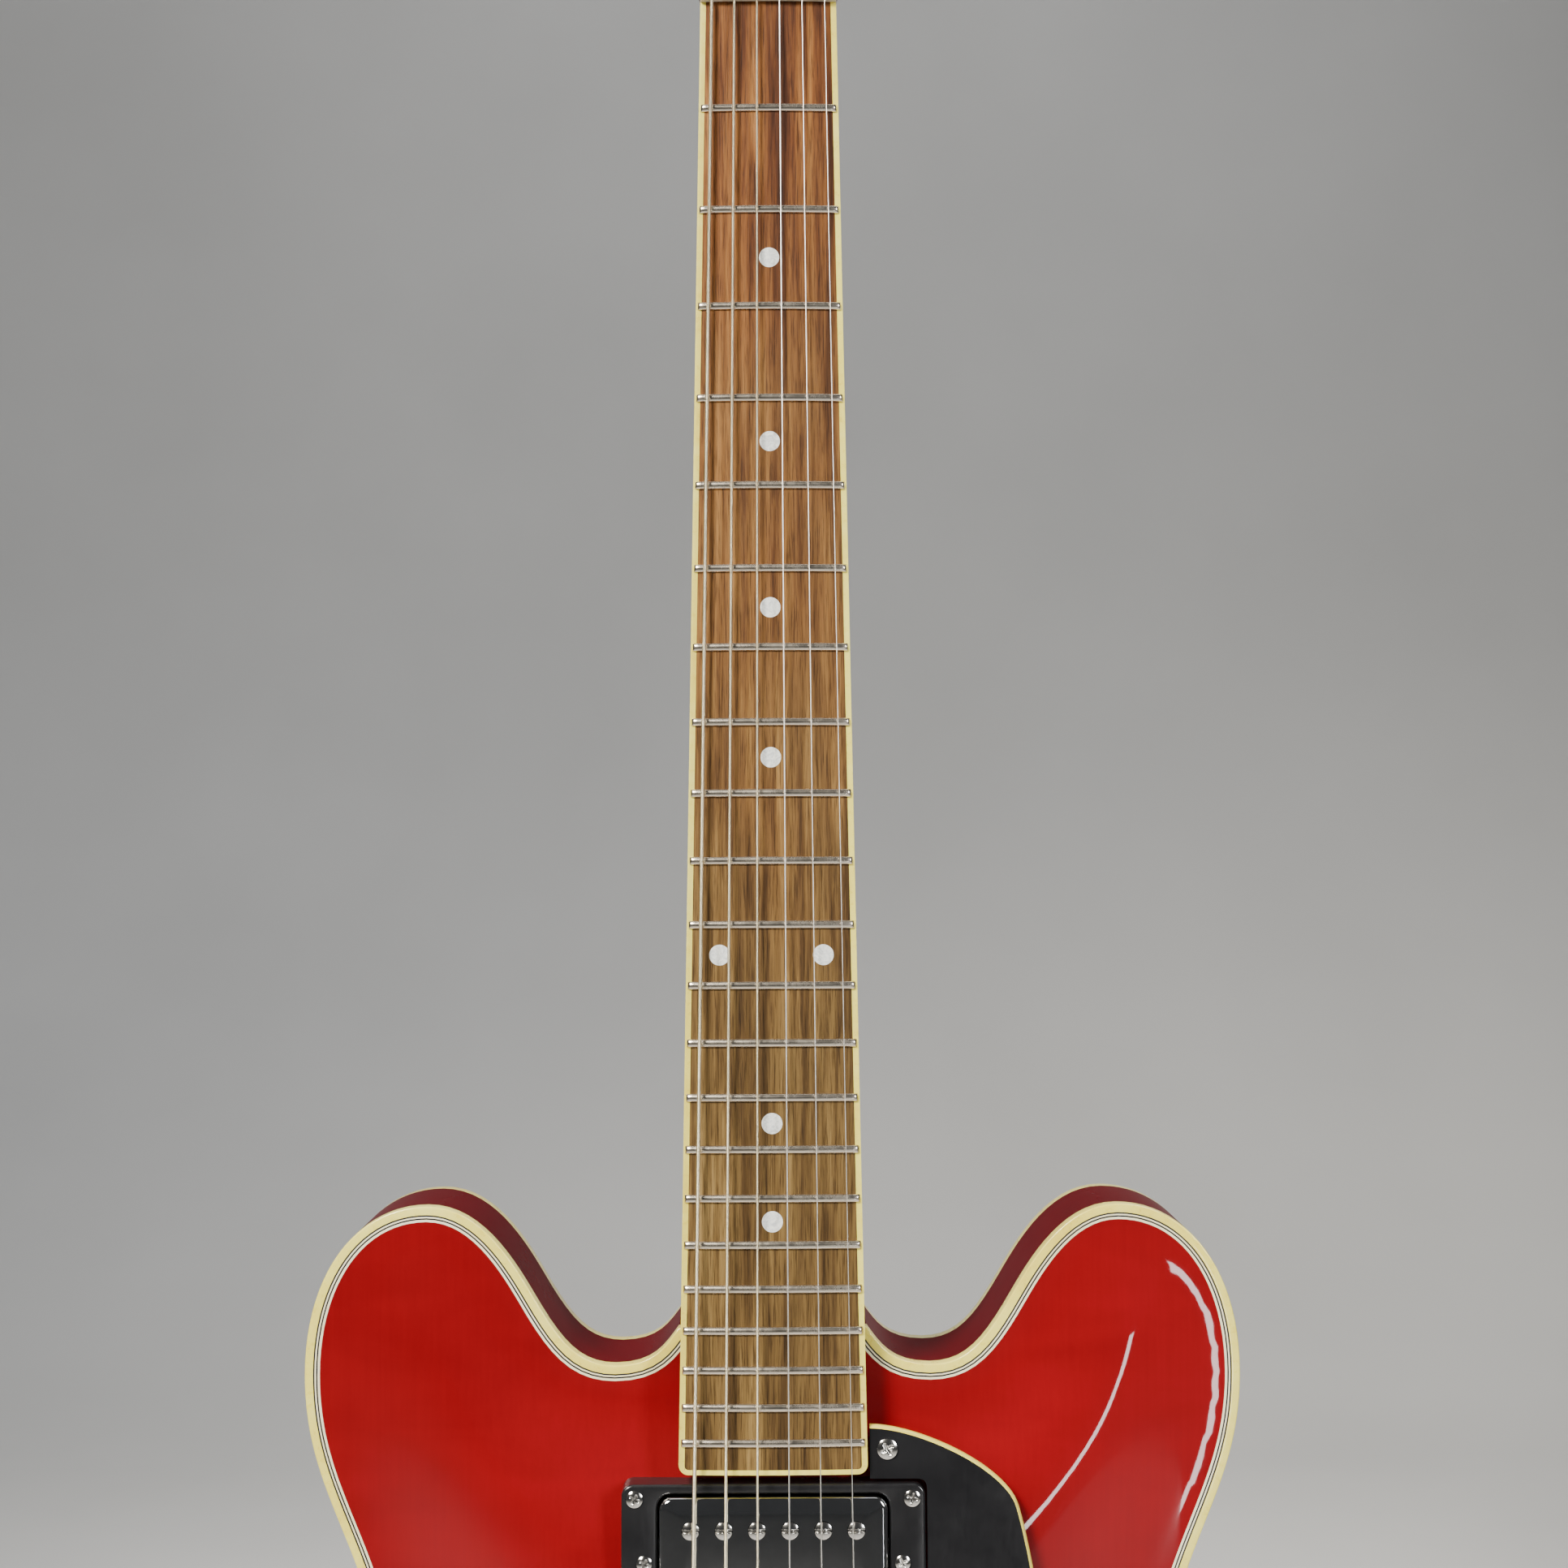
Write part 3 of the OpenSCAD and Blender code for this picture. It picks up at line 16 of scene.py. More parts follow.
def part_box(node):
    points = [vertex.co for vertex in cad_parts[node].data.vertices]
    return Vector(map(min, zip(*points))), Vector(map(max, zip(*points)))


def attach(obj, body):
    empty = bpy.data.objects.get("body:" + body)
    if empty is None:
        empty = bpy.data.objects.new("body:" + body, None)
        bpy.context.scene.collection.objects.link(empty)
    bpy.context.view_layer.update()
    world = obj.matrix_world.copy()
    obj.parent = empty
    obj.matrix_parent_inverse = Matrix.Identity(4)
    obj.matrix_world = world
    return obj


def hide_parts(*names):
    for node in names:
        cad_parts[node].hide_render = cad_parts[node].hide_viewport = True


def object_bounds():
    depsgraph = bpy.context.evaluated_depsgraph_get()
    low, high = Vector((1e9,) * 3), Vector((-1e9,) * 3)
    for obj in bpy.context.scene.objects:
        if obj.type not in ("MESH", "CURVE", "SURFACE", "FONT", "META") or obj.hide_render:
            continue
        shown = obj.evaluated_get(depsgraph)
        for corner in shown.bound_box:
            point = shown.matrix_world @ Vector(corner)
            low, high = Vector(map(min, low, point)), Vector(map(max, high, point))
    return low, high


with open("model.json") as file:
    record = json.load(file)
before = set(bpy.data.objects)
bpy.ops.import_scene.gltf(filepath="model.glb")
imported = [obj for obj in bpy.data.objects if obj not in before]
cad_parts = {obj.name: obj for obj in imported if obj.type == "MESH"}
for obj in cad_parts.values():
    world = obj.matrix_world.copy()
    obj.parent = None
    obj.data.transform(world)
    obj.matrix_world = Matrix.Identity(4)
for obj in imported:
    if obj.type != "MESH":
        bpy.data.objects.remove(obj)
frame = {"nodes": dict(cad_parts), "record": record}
CAD_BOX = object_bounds()

MM = 0.001


def low(node):
    """The lowest corner of a CAD node, in millimetres."""
    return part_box(node)[0] / MM


def high(node):
    """The highest corner of a CAD node, in millimetres."""
    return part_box(node)[1] / MM


# ---- Driving dimensions ----

RIM_FRONT = low("rim").y - 5
PLATE_T = 5
PLATE_BACK = RIM_FRONT + PLATE_T
TOP_RISE = 11
BACK_RISE = 9
RIM_T = 4.5
SHELF_W = 6
ARCH_REACH = 74
HEEL_Z = 441
HEEL_HALF = 29

SCALE_L = 628.65
FRETS = 22
NECK_ANGLE = math.radians(4.5)
HEAD_ANGLE = math.radians(17)
NUT_W = 43.5
BOARD_TAPER = 0.0297
BOARD_T = 6
BOARD_R = 305
BOARD_L = 461.7
BOARD_LIFT = 14.5
NUT_T = 4.75
SADDLE_Z = 233
HEAD_Y0 = 1
HEAD_W0 = SCALE_L + NUT_T
HEAD_T = 14.5
VENEER_T = 1.5
BOARD_END_W = SCALE_L - BOARD_L
BOARD_Y0 = RIM_FRONT - BOARD_LIFT - BOARD_END_W * math.sin(NECK_ANGLE)

STRING_R = [0.584, 0.457, 0.33, 0.216, 0.165, 0.127]
NUT_SPREAD = 36
SADDLE_SPREAD = 51.5
SADDLE_SHIFT = [-4, -3, -2, -3.5, -2, -0.5]
WOUND_STRINGS = 3

# The right half of the body's outline, from the end to the neck, as Bezier curves in (x, z).
OUTLINE = [
    [(0, 0), (118, 0), (203, 48), (203, 120)],
    [(203, 120), (203, 190), (117.5, 246), (117.5, 308)],
    [(117.5, 308), (117.5, 371.5), (144, 384.5), (144, 427)],
    [(144, 427), (144, 457.2), (129, 478.5), (106.5, 478.5)],
    [(106.5, 478.5), (90.6, 478.5), (80.5, 462.4), (73.8, 451)],
    [(73.8, 451), (65.2, 436.2), (59.6, 429.5), (48.5, 429.5)],
    [(48.5, 429.5), (36.7, 429.5), (33.2, 435.2), (HEEL_HALF, HEEL_Z)],
]
OUTLINE_STEPS = [72, 60, 40, 22, 14, 10, 8]


# ---- Curves ----

def unit(v):
    return v / np.linalg.norm(v, axis=-1, keepdims=True)


def bezier(p, t):
    p = np.asarray(p, float)
    t = np.asarray(t, float)[..., None]
    return (1 - t) ** 3 * p[0] + 3 * (1 - t) ** 2 * t * p[1] + 3 * (1 - t) * t * t * p[2] + t ** 3 * p[3]


def chain(curves, steps, end=True):
    """Points along Bezier curves that follow each other."""
    parts = [bezier(c, np.arange(n) / n) for c, n in zip(curves, steps)]
    if end:
        parts.append(np.array([curves[-1][3]], float))
    return np.concatenate(parts)


def closed_half(right):
    """A closed outline from its right half, whose ends lie on x = 0 or apart."""
    left = right[::-1] * [-1, 1]
    keep_first = abs(right[-1][0]) > 1e-9
    keep_last = abs(right[0][0]) > 1e-9
    left = left[0 if keep_first else 1:len(left) if keep_last else -1]
    return np.concatenate([right, left])


def inset(path, d):
    """The closed path moved inwards by d, with mitred corners."""
    before = unit(path - np.roll(path, 1, axis=0))
    after = unit(np.roll(path, -1, axis=0) - path)
    normal = np.stack([-before[:, 1], before[:, 0]], axis=1)
    corner = unit(np.stack([-before[:, 1] - after[:, 1], before[:, 0] + after[:, 0]], axis=1))
    return path + corner * d / np.sum(corner * normal, axis=1, keepdims=True)


def rounded_rect(w, h, r, steps=6):
    """A closed rectangle with round corners, in (x, z)."""
    out = []
    for quarter, (sx, sz) in enumerate([(1, -1), (1, 1), (-1, 1), (-1, -1)]):
        for k in range(steps + 1):
            a = math.pi / 2 * (quarter - 1 + k / steps)
            out.append([sx * (w / 2 - r) + r * math.cos(a), sz * (h / 2 - r) + r * math.sin(a)])
    return np.array(out)


def full_turn(steps):
    """Angles evenly round a circle."""
    return np.arange(steps) * 2 * math.pi / steps


def circle(r, steps=32, at=(0, 0)):
    a = full_turn(steps)
    return np.stack([at[0] + r * np.cos(a), at[1] + r * np.sin(a)], axis=1)


def at_depth(path, y):
    """The flat path (x, z) as points at depth y."""
    path = np.asarray(path, float)
    return np.stack([path[:, 0], np.broadcast_to(np.asarray(y, float), len(path)), path[:, 1]], axis=1)


def half_round(front, back, r_front, r_back, steps=4):
    """Levels (inset, y) of a slab's side, with its front and back edges rounded."""
    levels = []
    for k in range(steps + 1 if r_front else 1):
        a = math.pi / 2 * k / steps
        levels.append((r_front * (1 - math.sin(a)), front + r_front * (1 - math.cos(a))))
    for k in range(steps + 1 if r_back else 1):
        a = math.pi / 2 * k / steps
        levels.append((r_back * (1 - math.cos(a)), back - r_back * (1 - math.sin(a))))
    return levels


# ---- Body surface ----

OUTLINE_PATH = closed_half(chain(OUTLINE, OUTLINE_STEPS))
OUTLINE_SPAN = np.roll(OUTLINE_PATH, -1, axis=0) - np.roll(OUTLINE_PATH, 1, axis=0)
OUTLINE_SHARE = np.linalg.norm(OUTLINE_SPAN, axis=1) / 2


def edge_distance(points):
    """How far points in (x, z) lie inside the outline, smoothed."""
    points = np.asarray(points, float)
    out = np.empty(len(points))
    block = 2000
    for i in range(0, len(points), block):
        gap = points[i:i + block, None, :] - OUTLINE_PATH[None, :, :]
        square = np.maximum(np.sum(gap * gap, axis=2), 1e-6)
        out[i:i + block] = (2 / math.pi * np.sum(OUTLINE_SHARE / square ** 2, axis=1)) ** (-1 / 3)
    return out


def arch(points):
    t = np.clip((edge_distance(points) - SHELF_W) / ARCH_REACH, 0, 1)
    return t * t * (3 - 2 * t)


def top_y(p):
    return RIM_FRONT - TOP_RISE * float(arch([p])[0])


PROBE = 2


def slopes(p):
    """How the top's depth changes with x and with z at p."""
    x, z = p
    return ((top_y((x + PROBE, z)) - top_y((x - PROBE, z))) / (2 * PROBE),
            (top_y((x, z + PROBE)) - top_y((x, z - PROBE))) / (2 * PROBE))


# ---- Frames, as 4x4 matrices in millimetres ----

def move(x, y, z):
    return Matrix.Translation((x, y, z))


def turn(angle, axis):
    return Matrix.Rotation(angle, 4, axis)


NECK = move(0, BOARD_Y0, SADDLE_Z) @ turn(-NECK_ANGLE, "X")
HEAD = NECK @ move(0, HEAD_Y0, HEAD_W0) @ turn(-HEAD_ANGLE, "X")
LATHE_FRONT = turn(math.pi / 2, "X")
LATHE_BACK = turn(-math.pi / 2, "X")


def control_frame(p):
    """The frame of a control: its origin on the top, its -Y pointing square out of the top."""
    sx, sz = slopes(p)
    return (move(p[0], top_y(p), p[1]) @ turn(math.atan(sx), "Z")
            @ turn(-math.atan(sz * math.cos(math.atan(sx))), "X"))


def placed(points, matrix):
    points = np.asarray(points, float).reshape(-1, 3)
    m = np.array(matrix)
    return points @ m[:3, :3].T + m[:3, 3]


def fret_w(n):
    return SCALE_L * 2 ** (-n / 12)


def board_half(w):
    return (NUT_W + BOARD_TAPER * (SCALE_L - w)) / 2


def crown_drop(x):
    return x * x / (2 * BOARD_R)


def string_x(i, spread):
    return (i - 2.5) * spread / 5


# ---- Shapes ----

def level_ring(radii, angles, h):
    """Points round the Z axis at height h."""
    return np.stack([radii * np.cos(angles), radii * np.sin(angles), np.full(len(angles), float(h))], axis=1)


def add_object(name, data):
    made = bpy.data.objects.new(name, data)
    bpy.context.scene.collection.objects.link(made)
    return made


def face_outward(mesh):
    bm = bmesh.new()
    bm.from_mesh(mesh)
    bmesh.ops.recalc_face_normals(bm, faces=bm.faces)
    bm.to_mesh(mesh)
    bm.free()


def shade(mesh, sharp):
    mesh.shade_smooth()
    mesh.set_sharp_from_angle(angle=math.radians(sharp))


class Shape:
    """Points in millimetres and faces, gathered until build() makes an object of them."""

    def __init__(self, place=Matrix.Identity(4)):
        self.points = []
        self.faces = []
        self.paints = []
        self.place = place

    def add(self, points, faces, paint=0, place=None):
        start = len(self.points)
        self.points.extend(placed(points, self.place @ place if place else self.place).tolist())
        self.faces.extend([start + i for i in f] for f in faces)
        self.paints.extend([paint] * len(faces))

    def loft(self, rings, paint=0, place=None, closed=True, caps=True, looped=False):
        """Quads between rings of equal length. A looped loft joins its last ring to its first."""
        m, n = len(rings), len(rings[0])
        faces = []
        for i in range(m if looped else m - 1):
            a, b = i * n, (i + 1) % m * n
            for k in range(n if closed else n - 1):
                j = (k + 1) % n
                faces.append([a + k, a + j, b + j, b + k])
        if caps and not looped:
            faces.append(list(range(n - 1, -1, -1)))
            faces.append([(m - 1) * n + k for k in range(n)])
        self.add(np.concatenate(rings), faces, paint, place)

    def prism(self, outline, levels, paint=0, place=None):
        """A slab of a closed outline in (x, z), whose side runs through (inset, y) levels."""
        self.loft([at_depth(inset(outline, d), y) for d, y in levels], paint, place)

    def frame(self, outer, inner, levels, paint=0, place=None):
        """A closed band between two outlines of equal length, with levels (share, y) round its section."""
        self.loft([at_depth(outer + (inner - outer) * s, y) for s, y in levels], paint, place, looped=True)

    def lathe(self, profile, steps=48, paint=0, place=None, flute=None):
        """A solid turned about Z from (radius, height) pairs that start and end on the axis."""
        angles = full_turn(steps)
        rings, points, faces = [], [], []
        for r, h in profile:
            if r < 1e-9:
                rings.append([len(points)])
                points.append([0, 0, h])
                continue
            rings.append(list(range(len(points), len(points) + steps)))
            radii = np.full(steps, r) if flute is None else r + flute(angles, r, h)
            points.extend(level_ring(radii, angles, h).tolist())
        for a, b in zip(rings, rings[1:]):
            for k in range(steps):
                j = (k + 1) % steps
                if len(a) == 1 and len(b) > 1:
                    faces.append([a[0], b[j], b[k]])
                elif len(b) == 1 and len(a) > 1:
                    faces.append([a[k], a[j], b[0]])
                elif len(a) > 1:
                    faces.append([a[k], a[j], b[j], b[k]])
        self.add(points, faces, paint, place)

    def tube(self, path, r, sides=10, paint=0, place=None, ref=(0, 1, 0)):
        """A round tube along a path; ref is a direction that the path never follows."""
        path = np.asarray(path, float)
        along = unit(np.concatenate([path[1:] - path[:-1], path[-1:] - path[-2:-1]])
                     + np.concatenate([path[1:2] - path[:1], path[1:] - path[:-1]]))
        u = unit(np.cross(along, ref))
        v = np.cross(along, u)
        a = full_turn(sides)
        radius = np.broadcast_to(np.asarray(r, float), len(path))
        rings = [path[i] + radius[i] * (np.cos(a)[:, None] * u[i] + np.sin(a)[:, None] * v[i])
                 for i in range(len(path))]
        self.loft(rings, paint, place)


def build(shape, name, node, slot, *paints, body="root", sharp=40, normals=None):
    """Makes the object of a shape, which rides on a body and stands for a CAD node."""
    mesh = bpy.data.meshes.new(name)
    mesh.from_pydata((np.array(shape.points) * MM).tolist(), [], shape.faces)
    for paint in paints or [SLOT_PAINTS[slot]]:
        mesh.materials.append(paint)
    mesh.polygons.foreach_set("material_index", shape.paints)
    if normals is None:
        face_outward(mesh)
        shade(mesh, sharp)
    else:
        mesh.shade_smooth()
        mesh.normals_split_custom_set(normals)
    piece = add_object(name, mesh)
    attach(piece, body)
    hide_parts(node)
    return piece


# ---- Materials ----

class Paint:
    """A node material under construction."""

    def __init__(self, name, color, roughness, metallic=0.0, **sockets):
        self.material = bpy.data.materials.new(name)
        self.material.use_nodes = True
        self.tree = self.material.node_tree
        self.shader = self.tree.nodes["Principled BSDF"]
        self.shader.inputs["Base Color"].default_value = (*color, 1)
        self.shader.inputs["Roughness"].default_value = roughness
        self.shader.inputs["Metallic"].default_value = metallic
        for socket, value in sockets.items():
            self.shader.inputs[socket.replace("_", " ")].default_value = value
        self.bumps = None

    def node(self, kind, **settings):
        made = self.tree.nodes.new(kind)
        for key, value in settings.items():
            setattr(made, key, value)
        return made

    def put(self, socket, value):
        """Links a node's output to a socket, or sets the socket."""
        if hasattr(value, "is_output"):
            self.tree.links.new(value, socket)
        else:
            socket.default_value = value

    def coords(self, scale=(1, 1, 1), rotation=(0, 0, 0)):
        """Object coordinates, stretched."""
        mapping = self.node("ShaderNodeMapping")
        mapping.inputs["Scale"].default_value = scale
        mapping.inputs["Rotation"].default_value = rotation
        self.put(mapping.inputs["Vector"], self.node("ShaderNodeTexCoord").outputs["Object"])
        return mapping.outputs["Vector"]

    def noise(self, vector, scale, detail=4, roughness=0.5, distortion=0.0):
        made = self.node("ShaderNodeTexNoise")
        self.put(made.inputs["Vector"], vector)
        made.inputs["Scale"].default_value = scale
        made.inputs["Detail"].default_value = detail
        made.inputs["Roughness"].default_value = roughness
        made.inputs["Distortion"].default_value = distortion
        return made.outputs["Fac"]

    def ramp(self, value, stops):
        """A colour ramp through (place, colour) stops."""
        made = self.node("ShaderNodeValToRGB")
        self.put(made.inputs["Fac"], value)
        while len(made.color_ramp.elements) < len(stops):
            made.color_ramp.elements.new(0.5)
        for element, (place, color) in zip(made.color_ramp.elements, stops):
            element.position = place
            element.color = (*color, 1) if len(color) == 3 else color
        return made.outputs["Color"]

    def span(self, value, low_value, high_value, from_low=0.0, from_high=1.0):
        made = self.node("ShaderNodeMapRange")
        self.put(made.inputs["Value"], value)
        made.inputs["From Min"].default_value = from_low
        made.inputs["From Max"].default_value = from_high
        made.inputs["To Min"].default_value = low_value
        made.inputs["To Max"].default_value = high_value
        return made.outputs["Result"]

    def mix(self, share, a, b, blend="MIX"):
        made = self.node("ShaderNodeMix", data_type="RGBA", blend_type=blend)
        self.put(made.inputs[0], share)
        for socket, value in ((made.inputs[6], a), (made.inputs[7], b)):
            self.put(socket, value if hasattr(value, "is_output") else (*value, 1))
        return made.outputs[2]

    def math(self, operation, a, b=0.0):
        made = self.node("ShaderNodeMath", operation=operation)
        self.put(made.inputs[0], a)
        self.put(made.inputs[1], b)
        return made.outputs[0]

    def axis(self, vector, name):
        made = self.node("ShaderNodeSeparateXYZ")
        self.put(made.inputs[0], vector)
        return made.outputs[name]

    def color(self, value):
        self.put(self.shader.inputs["Base Color"], value)

    def roughness(self, value):
        self.put(self.shader.inputs["Roughness"], value)

    def bump(self, height, distance, strength=1.0, socket="Normal"):
        made = self.node("ShaderNodeBump")
        made.inputs["Strength"].default_value = strength
        made.inputs["Distance"].default_value = distance
        self.put(made.inputs["Height"], height)
        if self.bumps and socket == "Normal":
            self.put(made.inputs["Normal"], self.bumps)
        self.put(self.shader.inputs[socket], made.outputs["Normal"])
        if socket == "Normal":
            self.bumps = made.outputs["Normal"]


def lacquer(name, deep, bright, grain=1.0, coat=1.0, coat_ior=1.5, sheen=0.12):
    """Tinted gloss lacquer over maple: faint flame across the grain, and a smooth clear coat."""
    p = Paint(name, bright, 0.42, Coat_Weight=coat, Coat_Roughness=0.025, Coat_IOR=coat_ior,
              Specular_IOR_Level=sheen)
    flame = p.noise(p.coords((22, 22, 60), (0, 0.15, 0)), 1.0, 2, 0.45, 0.6)
    pores = p.noise(p.coords((700, 700, 26)), 1.0, 3, 0.6)
    cloud = p.noise(p.coords((6, 6, 6)), 1.0, 2)
    tone = p.math("ADD", p.math("MULTIPLY", flame, 0.5 * grain), p.math("MULTIPLY", pores, 0.22 * grain))
    tone = p.math("ADD", tone, p.math("MULTIPLY", cloud, 0.5))
    p.color(p.mix(p.span(tone, 0, 1, 0.25, 0.95), deep, bright))
    p.bump(p.noise(p.coords((55, 55, 55)), 1.0, 2), 0.00004, 0.5, "Coat Normal")
    return p.material


def plain_maple():
    p = Paint("maple_wood", (0.62, 0.42, 0.22), 0.6)
    streak = p.noise(p.coords((90, 90, 7)), 1.0, 5, 0.6)
    p.color(p.ramp(streak, [(0.25, (0.42, 0.26, 0.12)), (0.5, (0.62, 0.43, 0.23)),
                            (0.8, (0.74, 0.56, 0.33))]))
    p.bump(p.noise(p.coords((900, 900, 40)), 1.0, 3), 0.00006)
    return p.material


def aged_plastic(name, dark, mid, pale):
    """Yellowed binding plastic with faint clouding, under the body's clear coat."""
    p = Paint(name, mid, 0.32, Coat_Weight=0.7, Coat_Roughness=0.06,
              Subsurface_Weight=0.06, Subsurface_Radius=(0.0010, 0.0006, 0.0003), Subsurface_Scale=1.0)
    cloud = p.noise(p.coords((26, 26, 26)), 1.0, 4, 0.6)
    fine = p.noise(p.coords((420, 420, 420)), 1.0, 3, 0.6)
    tone = p.math("ADD", p.math("MULTIPLY", cloud, 0.75), p.math("MULTIPLY", fine, 0.25))
    p.color(p.ramp(tone, [(0.3, dark), (0.5, mid), (0.72, pale)]))
    p.roughness(p.span(fine, 0.24, 0.42, 0.3, 0.7))
    return p.material


def rosewood_board():
    """Oiled rosewood: long dark streaks and open pores, with painted warm light that makes it warmer at the
    top and greyer at the body.
    """
    p = Paint("rosewood_board", (0.20, 0.11, 0.06), 0.5, Specular_IOR_Level=0.15)
    along = p.coords((260, 60, 9), (0, 0.02, 0))
    wide = p.noise(p.coords((90, 30, 5.5), (0, 0.03, 0)), 1.0, 3, 0.6, 0.5)
    streak = p.noise(along, 1.0, 6, 0.68, 0.35)
    pores = p.noise(p.coords((2600, 900, 42)), 1.0, 4, 0.62)
    tone = p.math("ADD", p.math("MULTIPLY", streak, 0.72), p.math("MULTIPLY", wide, 0.28))
    warm_lit_tone = p.ramp(tone, [(0.30, (0.020, 0.005, 0.0015)), (0.43, (0.085, 0.025, 0.0060)),
                         (0.53, (0.190, 0.068, 0.0150)), (0.66, (0.330, 0.140, 0.0330))])
    grey = p.ramp(tone, [(0.30, (0.020, 0.010, 0.0035)), (0.43, (0.070, 0.038, 0.0120)),
                         (0.53, (0.150, 0.090, 0.0290)), (0.66, (0.270, 0.175, 0.0620))])
    # Painted warm light: the board turns from the grey tone to the warm lit tone as it goes up, with noise
    # along the edge of the painted light.
    height = p.axis(p.coords(), "Z")
    light_edge_noise = p.noise(p.coords((20, 20, 9)), 1.0, 2)
    lift = p.math("ADD", height, p.math("MULTIPLY", p.math("SUBTRACT", light_edge_noise, 0.5), 0.25))
    wood = p.mix(p.span(lift, 0, 1, 0.56, 0.78), grey, warm_lit_tone)
    dark = p.ramp(pores, [(0.36, (0.30, 0.26, 0.24)), (0.50, (1, 1, 1))])
    p.color(p.mix(0.85, wood, dark, "MULTIPLY"))
    p.roughness(p.span(streak, 0.62, 0.40, 0.3, 0.7))
    p.bump(pores, 0.00016, 0.8)
    p.bump(streak, 0.00010, 0.5)
    return p.material


def plated(name, color, roughness, haze=0.08, scratch=1.0):
    """Plated metal with faint haze and fine scratches."""
    p = Paint(name, color, roughness, 1.0)
    cloud = p.noise(p.coords((120, 120, 120)), 1.0, 4, 0.6)
    fine = p.noise(p.coords((1500, 1500, 500)), 1.0, 3, 0.7)
    p.roughness(p.span(p.math("ADD", p.math("MULTIPLY", cloud, 0.7), p.math("MULTIPLY", fine, 0.3)),
                       roughness, roughness + haze, 0.35, 0.7))
    dull = tuple(c * 0.82 for c in color)
    p.color(p.mix(p.span(cloud, 0, 1, 0.35, 0.75), color, dull))
    p.bump(fine, 0.000006, scratch)
    return p.material


def gloss_black(name, color, roughness, speck=0.5):
    """Black plastic, polished, with faint swirls of wear."""
    p = Paint(name, color, roughness, Coat_Weight=0.35, Coat_Roughness=0.05)
    cloud = p.noise(p.coords((60, 60, 60)), 1.0, 5, 0.6)
    hair = p.noise(p.coords((900, 900, 130), (0.3, 0.5, 0.2)), 1.0, 4, 0.65)
    p.roughness(p.span(p.math("ADD", p.math("MULTIPLY", cloud, 0.6), p.math("MULTIPLY", hair, 0.4)),
                       roughness, roughness + 0.16, 0.35, 0.7))
    p.color(p.mix(p.span(cloud, 0, speck, 0.3, 0.8), color, tuple(c * 1.9 + 0.004 for c in color)))
    p.bump(hair, 0.00001, 0.5)
    return p.material


def pearl():
    p = Paint("pearl_inlay", (0.72, 0.74, 0.72), 0.22, Coat_Weight=0.6, Coat_Roughness=0.05)
    swirl = p.noise(p.coords((420, 420, 420)), 1.0, 4, 0.6, 2.5)
    p.color(p.ramp(swirl, [(0.3, (0.50, 0.52, 0.53)), (0.5, (0.74, 0.76, 0.74)),
                           (0.68, (0.90, 0.91, 0.86))]))
    p.roughness(p.span(swirl, 0.30, 0.12, 0.3, 0.7))
    return p.material


def bone():
    p = Paint("bone_white", (0.80, 0.74, 0.60), 0.4, Subsurface_Weight=0.15,
              Subsurface_Radius=(0.002, 0.0015, 0.001), Subsurface_Scale=1.0)
    grain = p.noise(p.coords((300, 300, 900)), 1.0, 4)
    p.color(p.ramp(grain, [(0.3, (0.68, 0.60, 0.44)), (0.7, (0.86, 0.81, 0.68))]))
    p.bump(grain, 0.00003, 0.5)
    return p.material


def wound_wire(name, color, pitch):
    """Wrap wire round a string: fine ridges that follow each other along its length."""
    p = Paint(name, color, 0.34, 1.0)
    ridge = p.node("ShaderNodeTexWave", wave_type="BANDS", bands_direction="Z", wave_profile="SIN")
    p.put(ridge.inputs["Vector"], p.coords())
    ridge.inputs["Scale"].default_value = math.pi / (10 * pitch)
    grime = p.noise(p.coords((60, 60, 25)), 1.0, 3)
    p.color(p.mix(p.span(grime, 0, 1, 0.3, 0.8), color, tuple(c * 0.62 for c in color)))
    p.bump(ridge.outputs["Fac"], pitch * 0.28, 0.9)
    return p.material


CHERRY = lacquer("cherry_gloss", (0.150, 0.0001, 0.0022), (0.300, 0.0002, 0.0044), 0.7)
MAROON = lacquer("maroon_gloss", (0.050, 0.0004, 0.0020), (0.100, 0.0008, 0.0036), 1.0, 0.22, 1.22, 0.0)
NECK_PAINT = lacquer("neck_gloss", (0.080, 0.0006, 0.0020), (0.160, 0.0012, 0.0036), 1.0, 0.7, 1.4)
MAPLE = plain_maple()
CREAM = aged_plastic("aged_cream", (0.74, 0.57, 0.08), (0.86, 0.74, 0.13), (0.92, 0.84, 0.22))
IVORY = aged_plastic("aged_ivory", (0.80, 0.72, 0.40), (0.90, 0.84, 0.55), (0.94, 0.90, 0.68))
ROSEWOOD = rosewood_board()
NICKEL = plated("nickel_plate", (0.72, 0.70, 0.66), 0.10)
CHROME = plated("chrome_cover", (0.70, 0.70, 0.70), 0.04, 0.05, 0.5)
STEEL = plated("tool_steel", (0.46, 0.46, 0.47), 0.34, 0.14)
FRET_WIRE = plated("fret_wire", (0.80, 0.72, 0.60), 0.20, 0.14)
PLAIN_WIRE = plated("plain_string", (1.0, 0.97, 0.90), 0.38, 0.1)
WOUND_WIRE = wound_wire("wound_string", (0.95, 0.86, 0.62), 0.00032)
BLACK = gloss_black("black_plastic", (0.010, 0.010, 0.011), 0.16)
GUARD_BLACK = gloss_black("guard_black", (0.008, 0.008, 0.009), 0.10)
EBONY_FACE = gloss_black("head_black", (0.007, 0.007, 0.008), 0.08)
LINE_BLACK = gloss_black("line_black", (0.012, 0.010, 0.010), 0.3)
WIRE_BLACK = gloss_black("wire_cover", (0.020, 0.019, 0.018), 0.45)
KNOB_BLACK = gloss_black("knob_black", (0.010, 0.009, 0.009), 0.12)
PEARL = pearl()
BONE = bone()

